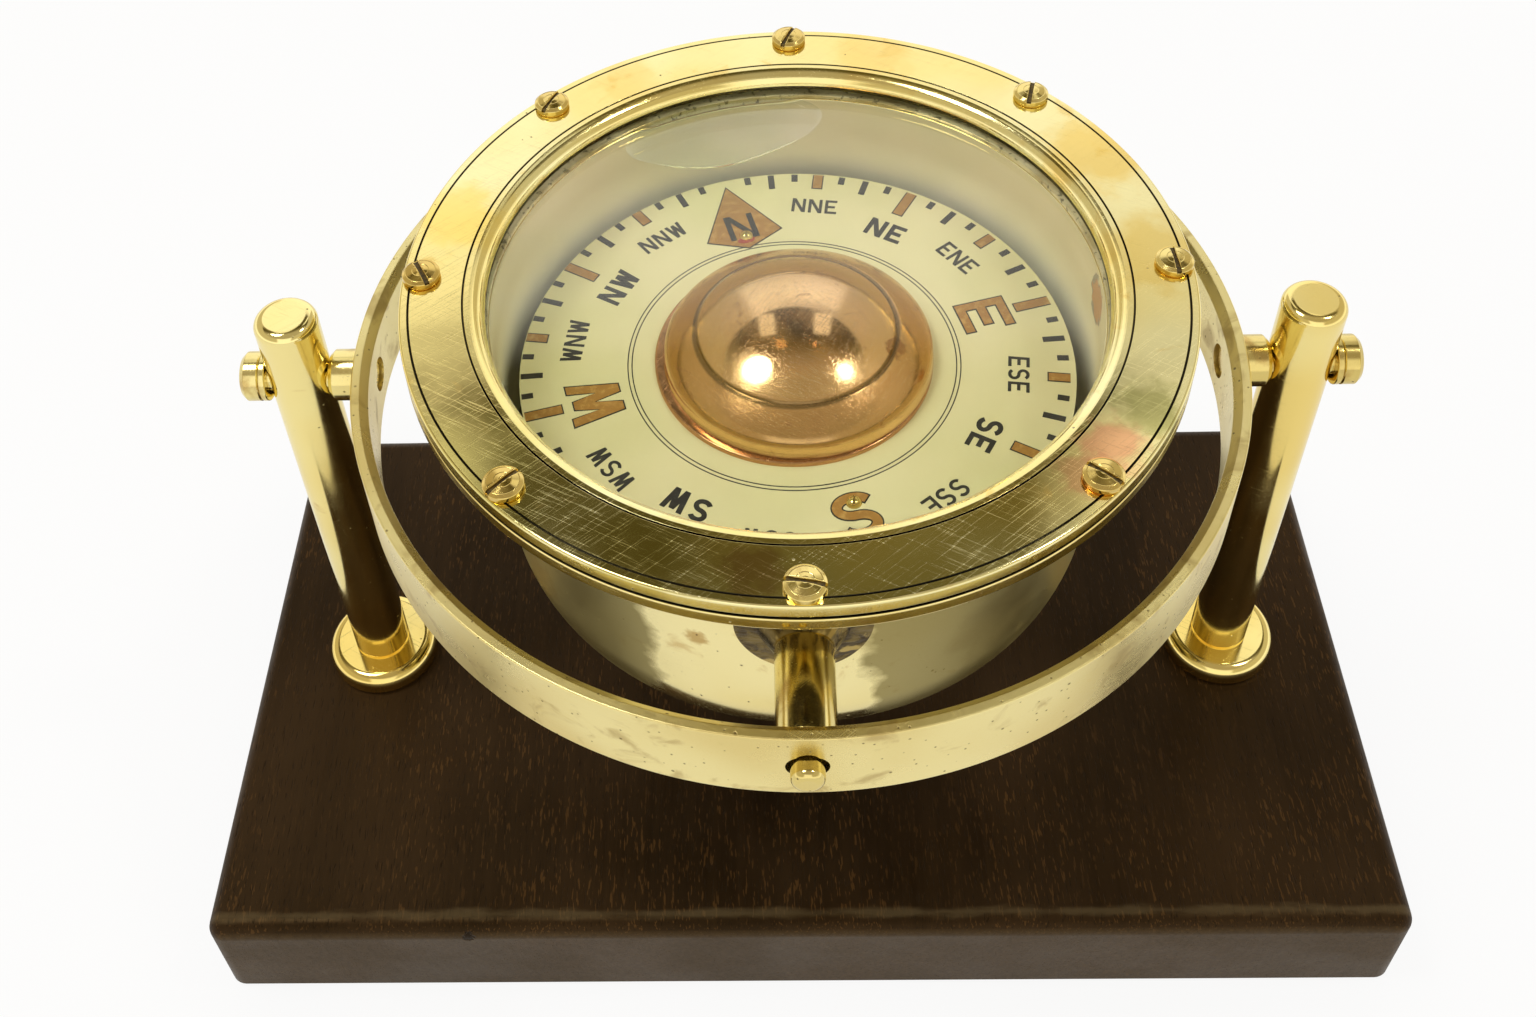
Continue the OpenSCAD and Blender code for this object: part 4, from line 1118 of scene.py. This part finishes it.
def letter(kind, w, t):
    """The outline of a plain block letter one unit high, with its width and stroke."""
    if kind == "E":
        low, high, arm = (1 - t) / 2, (1 + t) / 2, w * 0.84
        foot = [(0, 0), (w, 0), (w, t), (t, t), (t, low), (arm, low)]
        return foot + [(arm, high), (t, high), (t, 1 - t), (w, 1 - t), (w, 1), (0, 1)]
    if kind == "N":
        d = t * 1.2
        left, right = 1 - t / (w - d), 1 - (w - t - d) / (w - d)
        foot = [(0, 0), (t, 0), (t, left), (w - d, 0), (w, 0)]
        return foot + [(w, 1), (w - t, 1), (w - t, right), (d, 1), (0, 1)]
    if kind == "W":
        d, foot, mid, peak = t * 1.1, w * 0.28, w / 2, 0.92
        valley = (mid, peak * (mid - foot - d / 2) / (mid - foot))
        notch = crossing((d, 1), (foot + d / 2, 0), (foot - d / 2, 0), (mid - d / 2, peak))
        half = [(d, 1), notch, (mid - d / 2, peak)]
        low = [(0, 1), (foot - d / 2, 0), (foot + d / 2, 0), valley]
        mirrored = [(w - x, y) for x, y in low[:3]][::-1]
        return low + mirrored + [(w - x, y) for x, y in half] + half[::-1]
    rx, ry, middle = (w - t) / 2, (1 - t) / 4, w / 2
    sweep, steps = 242, 24
    arcs = [(math.radians(28 + sweep * k / steps), ry) for k in range(steps + 1)]
    arcs += [(math.radians(90 - sweep * k / steps), -ry) for k in range(1, steps + 1)]
    path = [(middle + rx * math.cos(a), 0.5 + lift + ry * math.sin(a)) for a, lift in arcs]
    sides = ([], [])
    for k, (x, y) in enumerate(path):
        before, after = path[max(k - 1, 0)], path[min(k + 1, len(path) - 1)]
        dx, dy = after[0] - before[0], after[1] - before[1]
        size = math.hypot(dx, dy)
        for row, sign in zip(sides, (1, -1)):
            row.append((x - sign * dy / size * t / 2, y + sign * dx / size * t / 2))
    return sides[1] + sides[0][::-1]


def grown(outline, by):
    """A closed anticlockwise outline pushed outwards all round."""
    count, result = len(outline), []
    for i, (x, y) in enumerate(outline):
        normals = []
        for p, q in ((outline[i - 1], (x, y)), ((x, y), outline[(i + 1) % count])):
            dx, dy = q[0] - p[0], q[1] - p[1]
            size = math.hypot(dx, dy) or 1
            normals.append((dy / size, -dx / size))
        (a, b), (c, d) = normals
        stretch = by / max(1 + a * c + b * d, 0.45)
        result.append((x + (a + c) * stretch, y + (b + d) * stretch))
    return result


def on_card(points, bearing, radius):
    """Points drawn upright, set on the card with their up direction outwards at a compass bearing.

    The print sits a little off the disc's centre.
    """
    angle = math.radians(90 + CARD_TURN - bearing)
    ux, uy = math.cos(angle), math.sin(angle)
    left, up = PRINT_AT
    return [(left + ux * (radius + y) + uy * x, up + uy * (radius + y) - ux * x) for x, y in points]


def anticlockwise(outline):
    """A closed outline, turned round if it runs clockwise."""
    area = sum(a[0] * b[1] - b[0] * a[1] for a, b in zip(outline, outline[1:] + outline[:1]))
    return outline if area > 0 else outline[::-1]


def word_outlines(word, bearing, radius, height, width, stroke, gap):
    """The letters of a word centred on a bearing, each as its outline, the bearing and its foot's radius."""
    wide = {"W": 1.28, "N": 1.08, "E": 0.94, "S": 1.0}
    widths = [width * wide[c] for c in word]
    x = -(sum(widths) + gap * (len(word) - 1)) / 2
    made = []
    for c, w in zip(word, widths):
        shape = [(x + px * height, py * height) for px, py in letter(c, w / height, stroke / height)]
        made.append((anticlockwise(shape), bearing, radius))
        x += w + gap
    return made


def make_print():
    """Letters, north point, circles and ticks as thin films of ink."""
    black, orange, red = bmesh.new(), bmesh.new(), bmesh.new()
    root, under, over = CARD_FACE - INK_ROOT, CARD_FACE + INK_UNDER, CARD_FACE + INK_OVER
    outlined = []
    for word, bearing in (("E", 90), ("S", 180), ("W", 270)):
        outlined += word_outlines(word, bearing, 38.6, 11.2, 9.0, 2.0, 0)
    kite = [(0, 57.0), (-8.8, 40.0), (0, 35.8), (8.8, 40.0)]
    outlined.append((anticlockwise(kite), 0, 0))
    for shape, bearing, radius in outlined:
        prism(black, on_card(grown(shape, 0.3), bearing, radius), root, under)
        prism(orange, on_card(grown(shape, -0.02), bearing, radius), root, over)
    for shape, bearing, radius in word_outlines("N", 0, 38.9, 8.2, 6.4, 1.35, 0):
        prism(black, on_card(shape, bearing, radius), CARD_FACE, over + 0.04)
    spot = [(2.1 * math.cos(TAU * k / 24), 38.4 + 1.0 * math.sin(TAU * k / 24)) for k in range(24)]
    prism(red, on_card(anticlockwise(spot), 0, 0), CARD_FACE, over + 0.02)
    words = []
    for word, bearing in (("NE", 45), ("SE", 135), ("SW", 225), ("NW", 315)):
        words += word_outlines(word, bearing, 42.4, 5.7, 4.0, 1.1, 0.95)
    for i, word in enumerate(("NNE", "ENE", "ESE", "SSE", "SSW", "WSW", "WNW", "NNW")):
        words += word_outlines(word, 22.5 + 45 * i, 46.3, 4.6, 3.0, 0.72, 0.7)
    for shape, bearing, radius in words:
        prism(black, on_card(shape, bearing, radius), root, under)
    for inner, outer in ((35.2, 35.44), (36.1, 36.34)):
        line = [(inner, -INK_ROOT, 0), (outer, -INK_ROOT, 0), (outer, INK_UNDER, 0), (inner, INK_UNDER, 0)]
        gather(black, [turned("circle", line, None, 1, 256, at=(*PRINT_AT, CARD_FACE))])
    for name, shape, ink in (
        ("orange_print", orange, orange_ink),
        ("red_print", red, red_ink),
        ("black_print", black, black_ink),
    ):
        belongs(made_of(name, shape, ink), "card", "card_cream")


def make_ticks():
    """Ticks that point inwards from the card's rim, those of the sixteen points orange with a black edge."""
    rim, edge = CARD_RIM - 0.75, 0.28
    principal = [45 * i for i in range(1, 8)]
    lesser = [22.5 + 45 * i for i in range(8)]
    points = [11.25 + 22.5 * i for i in range(16)]
    halves = [5.625 + 11.25 * i for i in range(32)]
    kinds = (
        ("principal_tick_edges", principal, 8.0 + edge, 2.2 + 2 * edge, INK_UNDER, black_ink),
        ("principal_ticks", principal, 8.0, 2.2, INK_OVER, orange_ink),
        ("lesser_tick_edges", lesser, 4.6 + edge, 2.1 + 2 * edge, INK_UNDER, black_ink),
        ("lesser_ticks", lesser, 4.6, 2.1, INK_OVER, orange_ink),
        ("point_ticks", points, 4.8, 1.5, INK_UNDER, black_ink),
        ("half_point_ticks", halves, 2.5, 1.5, INK_UNDER, black_ink),
    )
    for name, bearings, length, width, thick, finish in kinds:
        angles = [90 + CARD_TURN - b for b in bearings]
        one = bar(name + "_bar", -length, 0, width, -INK_ROOT, thick)
        made = set_round(name, one, angles, angles, rim, CARD_FACE, finish)
        made.data.transform(Matrix.Translation((PRINT_AT[0] * MM, PRINT_AT[1] * MM, 0)))
        belongs(made, "card", "card_cream")


make_print()
make_ticks()


# Finishes of the CAD nodes that stay as they are

KEPT = {
    "hold_down_screws": steel,
    "hold_down_washers": steel,
    "trunnion_saddle_front": solder,
    "trunnion_saddle_back": solder,
    "glass_gasket_lower": cork,
    "glass_gasket_upper": cork,
    "ballast_ring": iron,
    "pivot_stem": small_brass,
    "pivot_point": steel,
    "diaphragm": bowl_brass,
    "diaphragm_cover": flange_brass,
    "cover_screws": screw_brass,
    "filler_plug": screw_brass,
    "card_disc": paper,
    "float_base": float_copper,
    "jewel_cup": jewel_stone,
    "magnet_straps": small_brass,
    "magnets": steel,
    "card_screws": screw_brass,
}
for node, finish in KEPT.items():
    for slot in frame["nodes"][node].material_slots:
        slot.material = finish


# Floor, light and camera


def make_floor():
    """A plain white table that glows a little and keeps the object's soft shadow; to the camera it is
    lifted further, to white."""
    mat, tree = new_material("white_floor", Roughness=0.9, Base_Color=(0.93, 0.93, 0.93, 1))
    lift = add(tree, "ShaderNodeEmission", {"Color": (1, 1, 1, 1), "Strength": 1.0})
    seen = add(tree, "ShaderNodeLightPath").outputs["Is Camera Ray"]
    cover(tree, summed(tree, 0.47, (seen, 0.43)), lift)
    half, under = 3, -0.0002
    corners = [(x * half, y * half, under) for x, y in ((-1, -1), (1, -1), (1, 1), (-1, 1))]
    mesh = bpy.data.meshes.new("floor")
    mesh.from_pydata(corners, [], [(0, 1, 2, 3)])
    new_object("floor", mesh, mat)


def make_world():
    """A room: a bright wall behind the object that dims towards its top and to the right, duller walls
    beside it, all up to 47 degrees above the horizon, and a dark warm ceiling with paler beams and two
    bright panes, which gets lighter towards the front."""
    world = bpy.data.worlds.new("room")
    bpy.context.scene.world = world
    world.use_nodes = True
    tree = world.node_tree
    place = add(tree, "ShaderNodeTexCoord").outputs["Generated"]
    apart = add(tree, "ShaderNodeSeparateXYZ", {0: place})
    x, y, z = (apart.outputs[axis] for axis in "XYZ")
    sideways = add(tree, "ShaderNodeMath", {0: x}, operation="ABSOLUTE")
    noises = [{"Vector": place, "Scale": scale, "Detail": 2.0} for scale in (5.0, 2.6)]
    ripple, beams = (add(tree, "ShaderNodeTexNoise", noise) for noise in noises)
    up = summed(tree, -0.01, (z, 1.0), (x, -0.02), (ripple, 0.02))
    high, beside, raised, beam, front = (
        add(
            tree,
            "ShaderNodeMapRange",
            {"Value": level, "From Min": start, "From Max": end},
            interpolation_type="SMOOTHSTEP",
        )
        for level, start, end in (
            (up, 0.58, 0.73),
            (sideways, 0.3, 0.4),
            (up, 0.12, 0.34),
            (beams, 0.42, 0.68),
            (y, 0.4, -0.1),
        )
    )
    right = {"Value": x, "From Min": -0.25, "From Max": 0.3, "To Min": 0.0, "To Max": 0.55}
    dimmed = summed(tree, 0.0, (high, add(tree, "ShaderNodeMapRange", right)))
    beside = summed(tree, 0.0, (beside, raised))
    overhead = add(tree, "ShaderNodeMapRange", {"Value": up, "From Min": 0.715, "From Max": 0.74})
    panes = (between(tree, sideways, 0.19, 0.3, 0.035), between(tree, y, 0.4, 0.61, 0.035))
    wall = layered(
        tree, (1.24, 1.2, 1.16, 1), (dimmed, (0.16, 0.12, 0.04, 1)), (beside, (0.62, 0.55, 0.4, 1))
    )
    ceiling = layered(
        tree, (0.085, 0.068, 0.024, 1), (beam, (0.29, 0.24, 0.1, 1)), (front, (0.46, 0.4, 0.3, 1))
    )
    tone = layered(tree, wall, (overhead, ceiling), (summed(tree, 0.0, panes), (1.15, 1.1, 0.98, 1)))
    shade = found(tree, "BACKGROUND")
    tree.links.new(next(s for s in tone.outputs if s.enabled), shade.inputs["Color"])
    shade.inputs["Strength"].default_value = 1.0


def make_lamp(name, place, size, power):
    light = bpy.data.lights.new(name, "AREA")
    light.shape = "DISK"
    light.size = size
    light.energy = power
    lamp = bpy.data.objects.new(name, light)
    bpy.context.scene.collection.objects.link(lamp)
    lamp.location = place
    lamp.rotation_euler = (Vector((0, 0, AXIS_Z * MM)) - Vector(place)).to_track_quat("-Z", "Y").to_euler()


def make_camera():
    """The photograph's camera, worked out from the board, the posts, the ring and the rim circles."""
    yaw, pitch, roll = math.radians(2.223), math.radians(43.979), math.radians(-2.567)
    back = Vector((math.sin(yaw) * math.cos(pitch), -math.cos(yaw) * math.cos(pitch), math.sin(pitch)))
    level = Vector((math.cos(yaw), math.sin(yaw), 0))
    rise = back.cross(level)
    right = math.cos(roll) * level + math.sin(roll) * rise
    up = -math.sin(roll) * level + math.cos(roll) * rise
    data = bpy.data.cameras.new("camera")
    data.lens, data.sensor_width, data.sensor_fit = 39.80, 36, "HORIZONTAL"
    data.shift_x, data.shift_y = 0.02695, -0.17454
    data.clip_start, data.clip_end = 0.01, 20
    camera = bpy.data.objects.new("camera", data)
    bpy.context.scene.collection.objects.link(camera)
    turn = Matrix((right, up, back)).transposed().to_4x4()
    camera.matrix_world = Matrix.Translation(Vector((-4.341, -248.441, 416.555)) * MM) @ turn
    bpy.context.scene.camera = camera


make_floor()
make_world()
make_lamp("large_lamp", (-0.65, -0.01, 1.61), 0.5, 6.9)
make_lamp("small_lamp", (0.80, -0.03, 1.54), 0.22, 3.4)
make_camera()
bpy.context.scene.view_settings.view_transform = "Standard"

bpy.context.view_layer.update()
